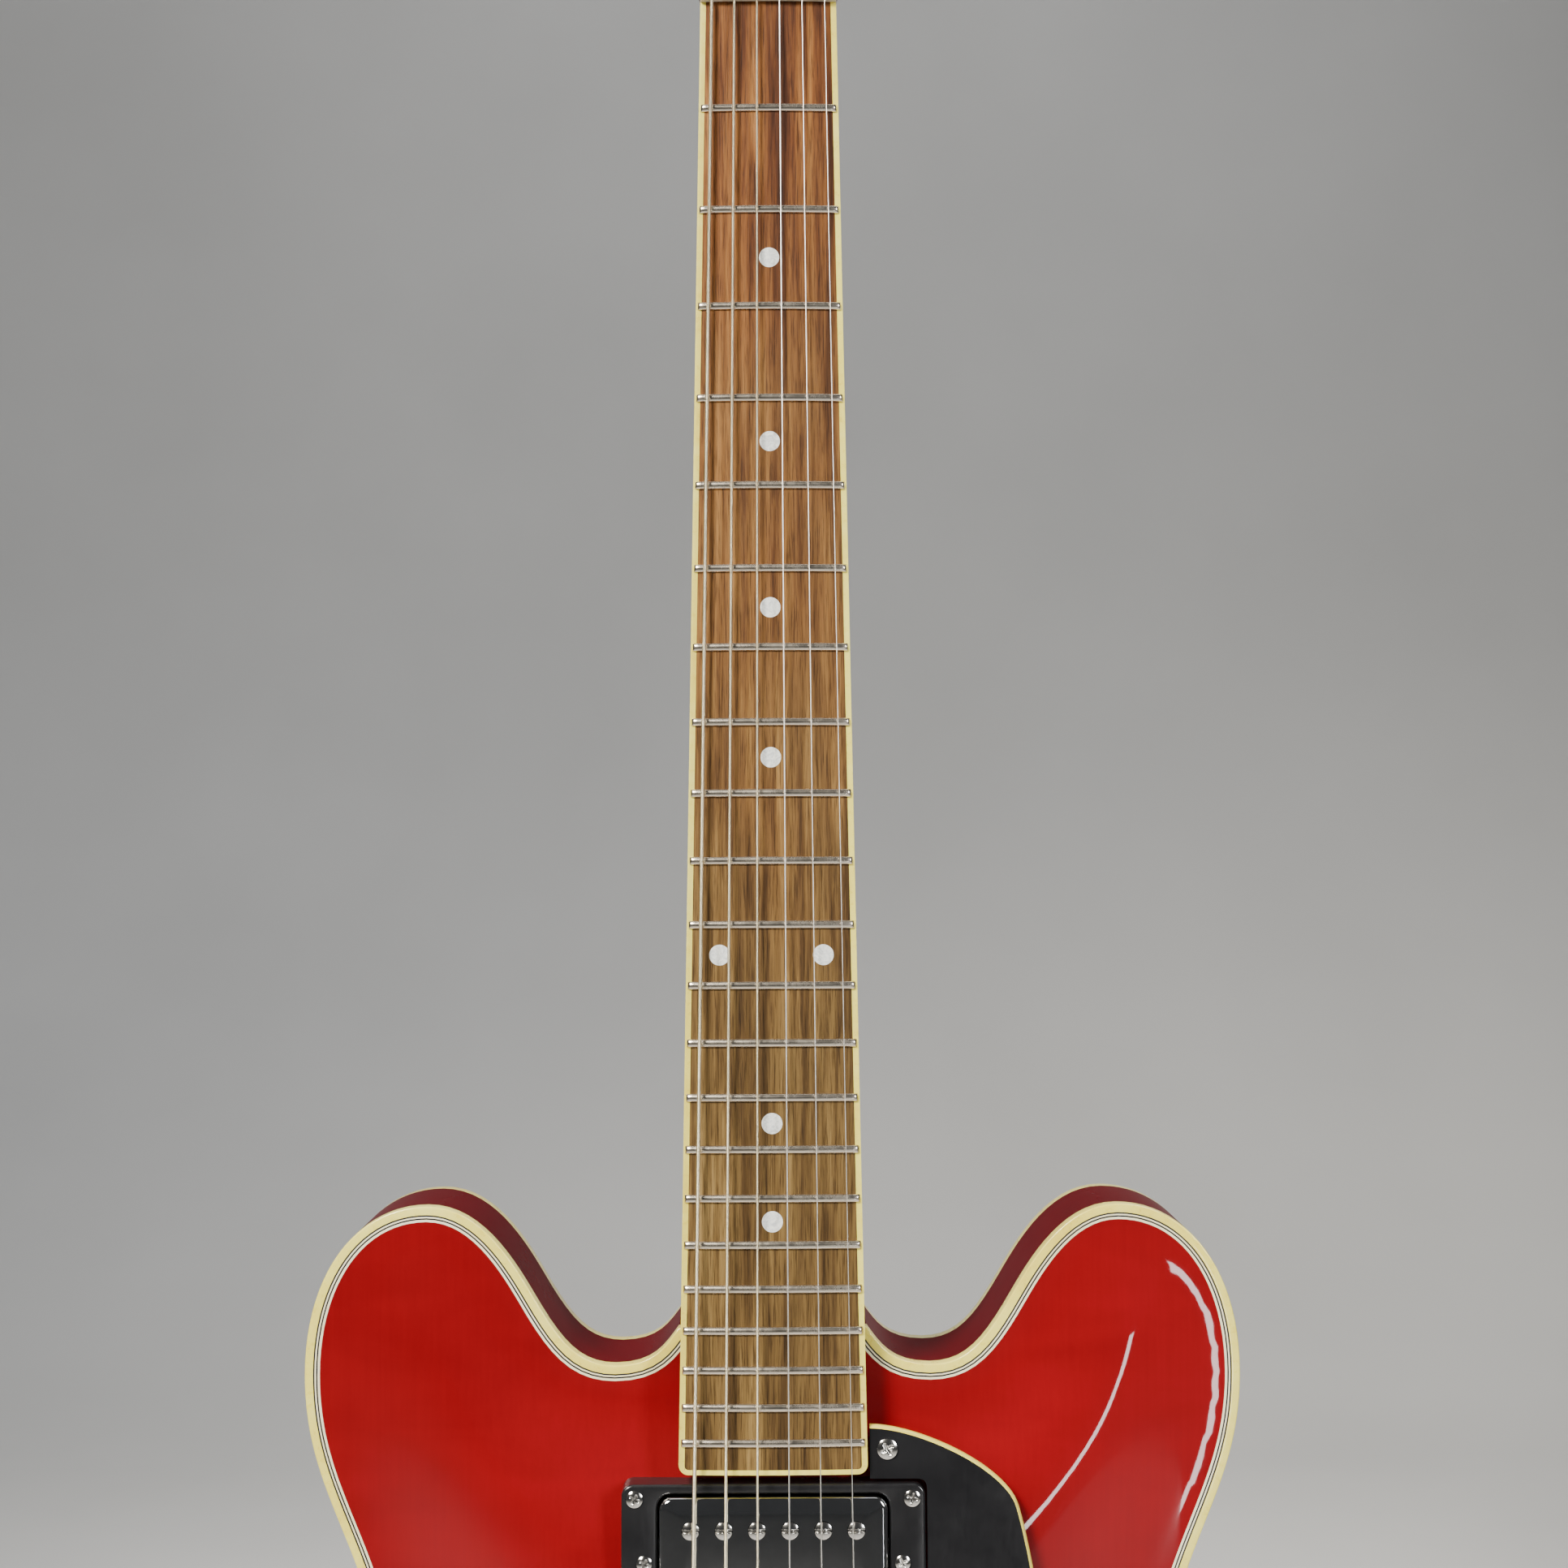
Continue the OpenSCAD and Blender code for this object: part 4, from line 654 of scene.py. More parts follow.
SLOT_PAINTS = {
    "cherry_lacquer": CHERRY, "maroon_lacquer": MAROON, "neck_lacquer": NECK_PAINT, "bare_maple": MAPLE,
    "cream_binding": CREAM, "black_plastic": BLACK, "rosewood": ROSEWOOD, "nickel": NICKEL,
    "fret_wire": FRET_WIRE, "pearloid": PEARL, "nut_bone": BONE, "string_steel": PLAIN_WIRE,
    "rod_steel": STEEL, "switch_tip": CREAM, "wire_cover": WIRE_BLACK,
}


def paint_cad_nodes():
    """Every CAD node takes the material of its slot; pieces that stand for some hide them later."""
    slot_of = {row["node"]: row["material_slot"] for row in frame["record"]["subparts"]}
    for name, node in frame["nodes"].items():
        chosen = SLOT_PAINTS[slot_of[name]]
        if not node.material_slots:
            node.data.materials.append(chosen)
        for s in node.material_slots:
            s.material = chosen


paint_cad_nodes()


# ---- Body ----

FRONT_BINDING_W = 2.6
BACK_BINDING_W = 1.3
PURFLING_EDGES = [0, 0.46, 0.92, 1.38, 2.1]
PURFLING_T = 1.5
PURFLING_GAP = 0.005
FRONT_EDGE_W = FRONT_BINDING_W + PURFLING_EDGES[-1]
GRID = 4.2
TONGUE_HALF = 27.6
TENON_HALF = 19
TENON_BACK = 12
POCKET_END_Z = 399
PICKUP_Z = [373.2, 264]
HOLE_EYES = [((80, 306), 6), ((104, 184), 7)]
STEM = [(82, 310.5), (104, 318), (80, 172), (102, 179.5)]
HOLE_EDGE_R = 0.5
KNOB_AT = [(92, 152), (143, 132), (72, 100), (123, 78)]
TOGGLE_AT = (139, 182)
JACK_AT = (97, 43)
CONTROL_HOLES = [(at, 5.1) for at in KNOB_AT + [JACK_AT]] + [(TOGGLE_AT, 6.4)]


def inside(points, loop):
    """Which points lie inside a closed loop."""
    x, z = points[:, 0:1], points[:, 1:2]
    ax, az = loop[:, 0], loop[:, 1]
    bx, bz = np.roll(ax, -1), np.roll(az, -1)
    with np.errstate(divide="ignore", invalid="ignore"):
        crossing = ((az > z) != (bz > z)) & (x < (bx - ax) * (z - az) / (bz - az) + ax)
    return crossing.sum(axis=1) % 2 == 1


def triangulate(loops, extra=()):
    """Delaunay triangles over the loops' points and the extra points, with the loops' edges kept."""
    points, edges = [], []
    for loop in loops:
        start = len(points)
        points.extend(map(Vector, np.asarray(loop, float)))
        edges.extend((start + k, start + (k + 1) % len(loop)) for k in range(len(loop)))
    points.extend(map(Vector, extra))
    found = delaunay_2d_cdt(points, edges, [], 0, 1e-5)
    return np.array([(p.x, p.y) for p in found[0]]), np.array(found[2])


def union_loop(loops):
    """The outline of several overlapping loops together."""
    points, triangles = triangulate(loops)
    centres = points[triangles].mean(axis=1)
    kept = triangles[np.any([inside(centres, loop) for loop in loops], axis=0)]
    after = {}
    pairs = {(a, b) for t in kept for a, b in ((t[0], t[1]), (t[1], t[2]), (t[2], t[0]))}
    for a, b in pairs:
        if (b, a) not in pairs:
            after[a] = b
    start = min(after)
    order, here = [start], after[start]
    while here != start:
        order.append(here)
        here = after[here]
    return points[order]


def f_hole():
    """The right f-hole: a tapered stem between two round eyes."""
    t = np.linspace(0, 1, 49)
    centre = bezier(STEM, t)
    along = unit(np.gradient(centre, axis=0))
    half = 1.5 + 3.9 * np.sin(np.pi * t) ** 1.3
    side = np.stack([-along[:, 1], along[:, 0]], axis=1) * half[:, None]
    stem = np.concatenate([centre - side, (centre + side)[::-1]])
    loop = union_loop([stem] + [circle(r, 40, at) for at, r in HOLE_EYES])
    gaps = np.linalg.norm(loop - np.roll(loop, 1, axis=0), axis=1)
    return loop[gaps > 0.12]


def signed_area(loop):
    return 0.5 * np.sum(loop[:, 0] * np.roll(loop[:, 1], -1) - np.roll(loop[:, 0], -1) * loop[:, 1])


def counter_clockwise(loop):
    return loop if signed_area(loop) > 0 else loop[::-1]


def grid_inside(outer, holes, spacing, margin):
    """Points of a triangular grid inside the outer loop and outside the holes, away from their edges."""
    lo, hi = outer.min(axis=0), outer.max(axis=0)
    rows = np.arange(lo[1], hi[1], spacing * math.sqrt(3) / 2)
    points = np.concatenate([np.stack([np.arange(lo[0], hi[0], spacing) + spacing / 2 * (i % 2),
                                       np.full(len(np.arange(lo[0], hi[0], spacing)), z)], axis=1)
                             for i, z in enumerate(rows)])
    kept = inside(points, outer)
    for hole in holes:
        kept &= ~inside(points, hole)
    points = points[kept]
    edge = np.concatenate([outer] + list(holes))
    near = np.array([np.min(np.sum((edge - p) ** 2, axis=1)) for p in points])
    return points[near > margin ** 2]


def plate_normals(points, rise):
    """The arched face's normals, pointing out to the front."""
    step = 0.5
    dx = -(arch(points + [step, 0]) - arch(points - [step, 0])) * rise / (2 * step)
    dz = -(arch(points + [0, step]) - arch(points - [0, step])) * rise / (2 * step)
    return unit(np.stack([dx, -np.ones(len(points)), dz], axis=1))


def plate(rise, outer, holes, edge_levels):
    """An arched plate that faces front, with holes whose front edges are rounded.

    edge_levels are (inset beyond outer, y) steps round the plate's side, from the front face.
    """
    cuts = [inset(h, -HOLE_EDGE_R) for h in holes]
    flat, triangles = triangulate([outer] + cuts, grid_inside(outer, cuts, GRID, GRID * 0.45))
    centres = flat[triangles].mean(axis=1)
    kept = inside(centres, outer)
    for cut in cuts:
        kept &= ~inside(centres, cut)
    triangles = triangles[kept]
    lift = rise * arch(flat)
    n = len(flat)
    points = [at_depth(flat, RIM_FRONT - lift), at_depth(flat, PLATE_BACK - lift)]
    face_normals = plate_normals(flat, rise)
    faces = [list(t) for t in triangles] + [[n + t[2], n + t[1], n + t[0]] for t in triangles]
    normals = [face_normals[i] for t in triangles for i in t]
    normals += [-face_normals[i] for t in triangles for i in (t[2], t[1], t[0])]
    paints = [0] * len(triangles) + [1] * len(triangles)
    count = 2 * n
    starts = np.cumsum([0] + [len(outer)] + [len(c) for c in cuts])
    for index, loop in enumerate([outer] + cuts):
        size = len(loop)
        front_ids = np.arange(starts[index], starts[index] + size)
        if index == 0:
            rings = [at_depth(inset(loop, -d), y) for d, y in edge_levels]
        else:
            hole_lift = rise * arch(loop)
            rings = []
            for k in range(1, 4):
                a = math.pi / 2 * k / 3
                rings.append(at_depth(inset(loop, HOLE_EDGE_R * math.sin(a)),
                                      RIM_FRONT - hole_lift + HOLE_EDGE_R * (1 - math.cos(a))))
            rings.append(at_depth(inset(loop, HOLE_EDGE_R), PLATE_BACK - hole_lift - 0.01))
        ids = [front_ids]
        for ring in rings:
            points.append(ring)
            ids.append(np.arange(count, count + size))
            count += size
        ids.append(front_ids + n)
        every = np.concatenate(points)
        order = 1 if index == 0 else -1
        for a, b in zip(ids, ids[1:]):
            for k in range(size):
                j = (k + 1) % size
                quad = [a[k], b[k], b[j], a[j]][::order]
                corner = every[quad]
                normal = np.cross(corner[2] - corner[0], corner[3] - corner[1])
                length = np.linalg.norm(normal)
                normal = normal / length if length > 1e-9 else np.array([0, -1.0, 0])
                faces.append(quad)
                normals.extend([normal] * 4)
                paints.append(0 if index == 0 else 2)
    shape = Shape()
    shape.points = np.concatenate(points).tolist()
    shape.faces = faces
    shape.paints = paints
    return shape, [tuple(v) for v in normals]


def turned_back(shape, normals):
    """A front plate turned into a back plate by a mirror in y."""
    shape.points = [[x, -y, z] for x, y, z in shape.points]
    shape.faces = [f[::-1] for f in shape.faces]
    turned, i = [], 0
    for f in shape.faces:
        turned.extend([(v[0], -v[1], v[2]) for v in normals[i:i + len(f)][::-1]])
        i += len(f)
    return shape, turned


def rect(x, z_low, z_high):
    return np.array([(-x, z_low), (x, z_low), (x, z_high), (-x, z_high)], float)


def make_top():
    hole = counter_clockwise(f_hole())
    holes = [hole, counter_clockwise(hole * [-1, 1])]
    holes += [rounded_rect(74, 42.5, 3) + [0, z] for z in PICKUP_Z]
    holes += [circle(r, 40, at) for at, r in CONTROL_HOLES]
    shape, normals = plate(TOP_RISE, inset(OUTLINE_PATH, FRONT_EDGE_W), holes, [
        (0, RIM_FRONT + PURFLING_T), (PURFLING_EDGES[-1], RIM_FRONT + PURFLING_T),
        (PURFLING_EDGES[-1], PLATE_BACK)])
    build(shape, "body_top", "top_plate", "cherry_lacquer", CHERRY, MAPLE, CHERRY, normals=normals)


def make_back():
    shape, normals = plate(BACK_RISE, inset(OUTLINE_PATH, BACK_BINDING_W), [], [(0, PLATE_BACK)])
    shape, normals = turned_back(shape, normals)
    build(shape, "body_back", "back_plate", "cherry_lacquer", CHERRY, MAPLE, CHERRY, normals=normals)


def band(shape, outer, inner, front, back, r, gap_half, paint=0, steps=3):
    """A band along the outline from one inset to another, left open at the neck by gap_half."""
    paths = []
    levels = half_round(front, back, r, 0, steps) if r else [(0, front), (0, back)]
    for d, y in levels:
        paths.append(at_depth(inset(OUTLINE_PATH, outer + d), y))
    paths.append(at_depth(inset(OUTLINE_PATH, inner), back))
    paths.append(at_depth(inset(OUTLINE_PATH, inner), front))
    sections = np.stack(paths, axis=1)
    if not gap_half:
        shape.loft(list(sections), paint, looped=True)
        return
    heel = int(np.argmax(np.all(np.isclose(OUTLINE_PATH, [HEEL_HALF, HEEL_Z]), axis=1)))
    ordered = list(np.roll(sections, -(heel + 1), axis=0))
    first, last = ordered[0].copy(), ordered[-1].copy()
    first[:, 0], last[:, 0] = -gap_half, gap_half
    shape.loft([first] + ordered + [last], paint)


def make_edges():
    rim = Shape()
    band(rim, 0, RIM_T, PLATE_BACK, -PLATE_BACK, 0, TENON_HALF)
    heel = rect(TENON_HALF, HEEL_Z - RIM_T, HEEL_Z)
    rim.loft([at_depth(heel, TENON_BACK), at_depth(heel, -PLATE_BACK)])
    build(rim, "body_rim", "rim", "maroon_lacquer")
    front = Shape()
    band(front, 0, FRONT_BINDING_W - 0.01, RIM_FRONT, PLATE_BACK, 0.45, TONGUE_HALF)
    build(front, "front_binding", "top_binding", "cream_binding")
    edges = [FRONT_BINDING_W + edge for edge in PURFLING_EDGES]
    for name, slot, paint, starts in (("black", "black_plastic", LINE_BLACK, (0, 2)),
                                      ("cream", "cream_binding", IVORY, (1, 3))):
        strips = Shape()
        for i in starts:
            band(strips, edges[i], edges[i + 1] - PURFLING_GAP, RIM_FRONT, RIM_FRONT + PURFLING_T, 0,
                 TONGUE_HALF)
        build(strips, f"purfling_{name}", "top_purfling", slot, paint)
    back = Shape()
    band(back, 0, BACK_BINDING_W - 0.01, RIM_FRONT, PLATE_BACK, 0.35, 0)
    back.points = [[x, -y, z] for x, y, z in back.points]
    build(back, "back_binding_strip", "back_binding", "cream_binding")


make_top()
make_back()
make_edges()


# ---- Neck ----

# Sections along the neck: place, half width, front, back and squareness.
NECK_SECTIONS = [
    [660, 23, 13, 21.8, 2.2],
    [646, 22.4, 9, 21.6, 2.2],
    [HEAD_W0, board_half(SCALE_L), BOARD_T, 21.2, 2.2],
    [fret_w(1), board_half(fret_w(1)), BOARD_T, 21.2, 2.2],
    [fret_w(6), board_half(fret_w(6)), BOARD_T, 22.6, 2.2],
    [fret_w(12), board_half(fret_w(12)), BOARD_T, 24, 2.2],
    [264, board_half(264), BOARD_T, 24.8, 2.25],
    [250, board_half(250), BOARD_T, 26.2, 2.4],
    [239, board_half(239), BOARD_T, 29.4, 2.6],
    [230, board_half(230), BOARD_T, 34.6, 2.8],
    [222, board_half(222), BOARD_T, 41, 3],
    [215, board_half(215), BOARD_T, 47.4, 3.1],
    [209, board_half(209), BOARD_T, 52.4, 3.2],
    [196, board_half(196), BOARD_T, 54, 3.2],
]
SECTION_STEPS = 40
HEAD_CURVES = [
    [(21.8, 0), (21.8, 14), (33.5, 18), (36, 38)],
    [(36, 38), (37.5, 62), (39, 118), (41, 152)],
    [(41, 152), (42.5, 172), (24, 180), (0, 180)],
]
HEAD_STEPS = [20, 16, 28]


def squircle(v, power):
    return np.sign(v) * np.abs(v) ** (2 / power)


def neck_rings():
    """Rings down the neck, in its own frame, with the crown side flat under the fingerboard."""
    knots = np.array(NECK_SECTIONS, float)
    order = np.argsort(knots[:, 0])
    knots = knots[order]
    places = np.unique(np.concatenate([np.linspace(196, 270, 38), np.linspace(270, 640, 40),
                                       np.linspace(640, 660, 8), knots[:, 0]]))
    columns = [monotone(knots[:, 0], knots[:, c], places) for c in range(1, 5)]
    angles = np.pi * np.arange(SECTION_STEPS + 1) / SECTION_STEPS
    rings = []
    for w, half, front, back, power in zip(places, *columns):
        rings.append(np.stack([half * squircle(np.cos(angles), power),
                               front + (back - front) * squircle(np.sin(angles), power),
                               np.full(len(angles), w)], axis=1))
    return rings


def monotone(x, y, at):
    """Monotone cubic interpolation."""
    h = np.diff(x)
    slope = np.diff(y) / h
    m = np.zeros(len(x))
    m[0], m[-1] = slope[0], slope[-1]
    for i in range(1, len(x) - 1):
        if slope[i - 1] * slope[i] > 0:
            a, b = 2 * h[i] + h[i - 1], h[i] + 2 * h[i - 1]
            m[i] = (a + b) / (a / slope[i - 1] + b / slope[i])
    k = np.clip(np.searchsorted(x, at) - 1, 0, len(h) - 1)
    t = (at - x[k]) / h[k]
    return ((2 * t ** 3 - 3 * t ** 2 + 1) * y[k] + (t ** 3 - 2 * t ** 2 + t) * h[k] * m[k]
            + (3 * t ** 2 - 2 * t ** 3) * y[k + 1] + (t ** 3 - t ** 2) * h[k] * m[k + 1])


def cut_below(piece_mesh, z, sharp):
    """Cuts a mesh off below z, and closes the cut."""
    bm = bmesh.new()
    bm.from_mesh(piece_mesh)
    geometry = bm.verts[:] + bm.edges[:] + bm.faces[:]
    cut = bmesh.ops.bisect_plane(bm, geom=geometry, plane_co=(0, 0, z * MM), plane_no=(0, 0, -1),
                                 clear_outer=True)
    edges = [e for e in cut["geom_cut"] if isinstance(e, bmesh.types.BMEdge)]
    bmesh.ops.contextual_create(bm, geom=edges)
    bmesh.ops.recalc_face_normals(bm, faces=bm.faces)
    bm.to_mesh(piece_mesh)
    bm.free()
    shade(piece_mesh, sharp)


def make_neck():
    shaft = Shape(NECK)
    shaft.loft(neck_rings())
    piece = build(shaft, "neck_shaft", "neck", "neck_lacquer")
    cut_below(piece.data, HEEL_Z, 40)
    tongue = Shape()
    low_z, high_z = POCKET_END_Z, HEEL_Z + 1
    for half, depths in ((TONGUE_HALF, (neck_depth(HEEL_Z) + 4.5, PLATE_BACK)),
                         (TENON_HALF, (PLATE_BACK, TENON_BACK))):
        outline = rounded_rect(2 * half, high_z - low_z, 1) + [0, (high_z + low_z) / 2]
        tongue.loft([at_depth(outline, y) for y in depths])
    build(tongue, "neck_tongue", "neck", "neck_lacquer")
    head = Shape(HEAD)
    outline = closed_half(chain(HEAD_CURVES, HEAD_STEPS))
    head.prism(outline, half_round(VENEER_T, HEAD_T, 0, 1.6))
    build(head, "headstock_back", "neck", "neck_lacquer")
    face = Shape(HEAD)
    face.prism(outline, half_round(0, VENEER_T, 0.5, 0))
    build(face, "headstock_face", "headstock_veneer", "black_plastic", EBONY_FACE)


def neck_depth(z):
    """The depth of the fingerboard's underside at height z."""
    return placed([[0, BOARD_T, (z - SADDLE_Z) / math.cos(NECK_ANGLE)]], NECK)[0][1]


make_neck()


# ---- Fingerboard ----

BOARD_BINDING_W = 1.8
BOARD_END_BINDING = 1.5
BOARD_CORNER = 3
DOT_R = 3.2
SINGLE_DOTS = [3, 5, 7, 9, 15, 17]
DOUBLE_DOT = 12
DOUBLE_DOT_X = 16


def between_frets(n):
    return (fret_w(n) + fret_w(n - 1)) / 2


def crowned(shape, outline, columns, lift, back, edge_r, paint=0):
    """A slab under the crown: a four-sided outline (w low, w high, half widths) split across its width."""
    w_low, w_high, half_low, half_high = outline
    rows = []
    places = np.linspace(w_low, w_high, 60)
    for w in places:
        half = half_low + (half_high - half_low) * (w - w_low) / (w_high - w_low)
        x = np.linspace(-half, half, columns)
        front = crown_drop(x) - lift
        top = np.stack([x, front, np.full(columns, w)], axis=1)
        top[0, 1] += edge_r
        top[-1, 1] += edge_r
        bottom = np.array([[half, back, w], [-half, back, w]])
        rows.append(np.concatenate([top, bottom]))
    shape.loft(rows, paint)


def make_board():
    board = Shape(NECK)
    crowned(board, (BOARD_END_W + BOARD_END_BINDING, SCALE_L, board_half(BOARD_END_W) - BOARD_BINDING_W,
                    board_half(SCALE_L) - BOARD_BINDING_W), 17, 0, BOARD_T, 0)
    build(board, "fingerboard_wood", "fingerboard", "rosewood")


def board_edge_path(side):
    """The board's outline (x, w) from one nut corner round the body end to the other, moved in by side."""
    half_end = board_half(BOARD_END_W) - side
    end = BOARD_END_W + side * BOARD_END_BINDING / BOARD_BINDING_W
    r = max(BOARD_CORNER - side, 0.35)
    half_nut = board_half(SCALE_L) - side
    path = []
    for k in range(12):
        w = SCALE_L + (end + r - SCALE_L) * k / 12
        path.append((-(half_nut + (half_end - half_nut) * (SCALE_L - w) / (SCALE_L - end)), w))
    for k in range(9):
        a = math.pi + math.pi / 2 * k / 8
        path.append((-half_end + r + r * math.cos(a), end + r + r * math.sin(a)))
    left = np.array(path)
    right = left[::-1] * [-1, 1]
    middle = np.stack([np.linspace(left[-1, 0], right[0, 0], 16)[1:-1], np.full(14, end)], axis=1)
    return np.concatenate([left, middle, right])


def make_board_binding():
    strip = Shape(NECK)
    outer, inner = board_edge_path(0), board_edge_path(BOARD_BINDING_W)
    sections = []
    soft = 0.45
    for o, i in zip(outer, inner):
        across = (i - o) / np.linalg.norm(i - o)
        section = []
        for k in range(5):
            a = math.pi / 2 * k / 4
            p = o + across * soft * (1 - math.cos(math.pi / 2 - a))
            section.append([p[0], crown_drop(p[0]) + soft * (1 - math.sin(a)), p[1]])
        section.append([i[0], crown_drop(i[0]), i[1]])
        section.append([i[0], BOARD_T, i[1]])
        section.append([o[0], BOARD_T, o[1]])
        sections.append(np.array(section))
    strip.loft(sections)
    build(strip, "fingerboard_binding_strip", "fingerboard_binding", "cream_binding")


CROWN_W = 2.6
CROWN_H = 1.15
FRET_END_GAP = 0.55


def make_frets():
    """Bent crowns whose ends are bevelled and lie over the binding."""
    wire = Shape(NECK)
    for n in range(1, FRETS + 1):
        half = board_half(fret_w(n)) - FRET_END_GAP
        stations = [(-half, 0.10), (-half + 0.18, 0.55), (-half + 0.45, 0.86), (-half + 0.9, 1.0)]
        stations += [(x, 1.0) for x in np.linspace(-half + 2, half - 2, 17)]
        stations += [(-x, s) for x, s in stations[:4][::-1]]
        rings = []
        for x, share in stations:
            a = np.pi * np.arange(13) / 12
            profile_w = CROWN_W / 2 * np.cos(a) * (0.86 + 0.14 * share)
            profile_h = CROWN_H * share * np.sin(a) ** 0.85
            ring = np.stack([np.full(13, x), crown_drop(x) - profile_h, fret_w(n) + profile_w], axis=1)
            foot = np.array([[x, crown_drop(x) + 0.25, fret_w(n) - CROWN_W / 2 * 0.9],
                             [x, crown_drop(x) + 0.25, fret_w(n) + CROWN_W / 2 * 0.9]])
            rings.append(np.concatenate([ring, foot]))
        wire.loft(rings)
    build(wire, "fret_wires", "frets", "fret_wire", sharp=50)


def make_dots():
    dots = Shape(NECK)
    spots = [(0, between_frets(n)) for n in SINGLE_DOTS]
    spots += [(s * DOUBLE_DOT_X, between_frets(DOUBLE_DOT)) for s in (-1, 1)]
    for x, w in spots:
        rings = []
        for r, lift in ((DOT_R, 0.2), (DOT_R, -0.015), (DOT_R - 0.12, -0.03), (DOT_R * 0.6, -0.03),
                        (0.4, -0.03)):
            rim = circle(r, 40, (x, w))
            rings.append(np.stack([rim[:, 0], crown_drop(rim[:, 0]) + lift, rim[:, 1]], axis=1))
        dots.loft(rings)
    build(dots, "pearl_dots", "position_markers", "pearloid")
    marks = Shape(NECK)
    places = [between_frets(n) for n in SINGLE_DOTS]
    places += [between_frets(DOUBLE_DOT) + s for s in (-3.5, 3.5)]
    for w in places:
        x = -board_half(w)
        marks.lathe([(0, -0.03), (0.9, -0.03), (1, 0.02), (1, 0.8), (0, 0.8)], 24,
                    place=move(x, 3.4, w) @ turn(math.pi / 2, "Y"))
    build(marks, "side_dots", "position_markers", "black_plastic", LINE_BLACK)


NUT_TOP = -2.4


def make_nut():
    """The nut: a rounded bar with a slot for each string, wide open to the front."""
    bar = Shape(NECK)
    half = NUT_W / 2
    slots = []
    for i, r in enumerate(STRING_R):
        slots.append((string_x(i, NUT_SPREAD), r + 0.06))
    xs = [-half, -half + 0.35]
    for x, r in slots:
        xs.extend(x + np.linspace(-r, r, 7))
        xs.extend([x - r - 0.001, x + r + 0.001])
    xs.extend([half - 0.35, half])
    xs = np.unique(np.round(np.concatenate([xs, np.linspace(-half, half, 40)]), 4))

    def top(x):
        y = NUT_TOP + crown_drop(x)
        if abs(x) > half - 0.4:
            y += 0.35 * ((abs(x) - half + 0.4) / 0.4) ** 2
        for at, r in slots:
            if abs(x - at) <= r:
                floor = crown_drop(at) - 1.7 + 0.02
                y = max(y, floor - r + math.sqrt(max(r * r - (x - at) ** 2, 0)))
        return y

    rings = []
    for x in xs:
        y = top(x)
        rings.append(np.array([[x, BOARD_T, SCALE_L], [x, y + 0.25, SCALE_L], [x, y + 0.06, SCALE_L + 0.15],
                               [x, y, SCALE_L + 0.5], [x, y + 0.15, SCALE_L + NUT_T - 1.4],
                               [x, y + 0.6, SCALE_L + NUT_T - 0.3], [x, y + 1.1, SCALE_L + NUT_T],
                               [x, BOARD_T, SCALE_L + NUT_T]]))
    bar.loft(rings)
    build(bar, "string_nut", "nut", "nut_bone", sharp=30)


make_board()
make_board_binding()
make_frets()
make_dots()
make_nut()


# ---- Screws and other shared fittings ----

def polar_cap(shape, r, height, steps=56, rings=12, foot=0.0, paint=0, place=None):
    """A round head over r, whose height above its foot is height(x, z), facing -Y."""
    angles = full_turn(steps)
    points = [[0, -height(0, 0), 0]]
    for k in range(1, rings + 1):
        radius = r * (k / rings) ** 0.9
        x, z = radius * np.cos(angles), radius * np.sin(angles)
        y = [-height(a, b) for a, b in zip(x, z)]
        points.extend(zip(x.tolist(), y, z.tolist()))
    points.extend(zip((r * np.cos(angles)).tolist(), [foot] * steps, (r * np.sin(angles)).tolist()))
    faces = [[0, 1 + k, 1 + (k + 1) % steps] for k in range(steps)]
    for i in range(rings):
        a, b = 1 + i * steps, 1 + (i + 1) * steps
        faces.extend([a + k, b + k, b + (k + 1) % steps, a + (k + 1) % steps] for k in range(steps))
    last = 1 + rings * steps
    faces.append([last + k for k in range(steps)][::-1])
    shape.add(points, faces, paint, place)


def soft_step(value, edge, width):
    t = min(max((value - edge) / width + 0.5, 0), 1)
    return t * t * (3 - 2 * t)


def cross_head(r, h):
    """The height of a domed head with a cross recess."""
    arm, half, depth = 0.62 * r, 0.13 * r, 0.62 * h

    def height(x, z):
        d = math.hypot(x, z)
        dome = h * (1 - 0.55 * (d / r) ** 2.4)
        u, v = (x + z) / math.sqrt(2), (x - z) / math.sqrt(2)
        along = max(soft_step(arm - abs(u), 0, 0.16 * r) * soft_step(half - abs(v), 0, 0.10 * r),
                    soft_step(arm - abs(v), 0, 0.16 * r) * soft_step(half - abs(u), 0, 0.10 * r))
        slope = 1 - 0.45 * min(d / arm, 1)
        return dome - depth * along * slope
    return height


def slot_head(r, h, half, depth):
    """The height of a domed head with a straight slot along x."""
    def height(x, z):
        dome = h * (1 - 0.5 * (math.hypot(x, z) / r) ** 2.2)
        return dome - depth * soft_step(half - abs(z), 0, 0.5 * half)
    return height


def hexagon(across):
    """A lathe flute that turns a round profile of radius `across` into a hexagon."""
    def flute(angles, r, _):
        if abs(r - across) > 0.5:
            return 0 * angles
        wedge = (angles + math.pi / 6) % (math.pi / 3) - math.pi / 6
        return r * (math.cos(math.pi / 6) / np.cos(wedge) - 1)
    return flute


def knurl(count, depth, outer):
    """A lathe flute with fine ridges where the profile is at its outer radius."""
    def flute(angles, r, _):
        return -depth * (0.5 + 0.5 * np.cos(count * angles)) * (1.0 if r > outer - 0.05 else 0.0)
    return flute


def spin(shape, profile, steps=48, paint=0, place=None, flute=None):
    """A ring turned about Z from a closed loop of (radius, height) pairs."""
    angles = full_turn(steps)
    rings = []
    for r, h in profile:
        radii = np.full(steps, float(r)) if flute is None else r + flute(angles, r, h)
        rings.append(level_ring(radii, angles, h))
    shape.loft(rings, paint, place, looped=True)


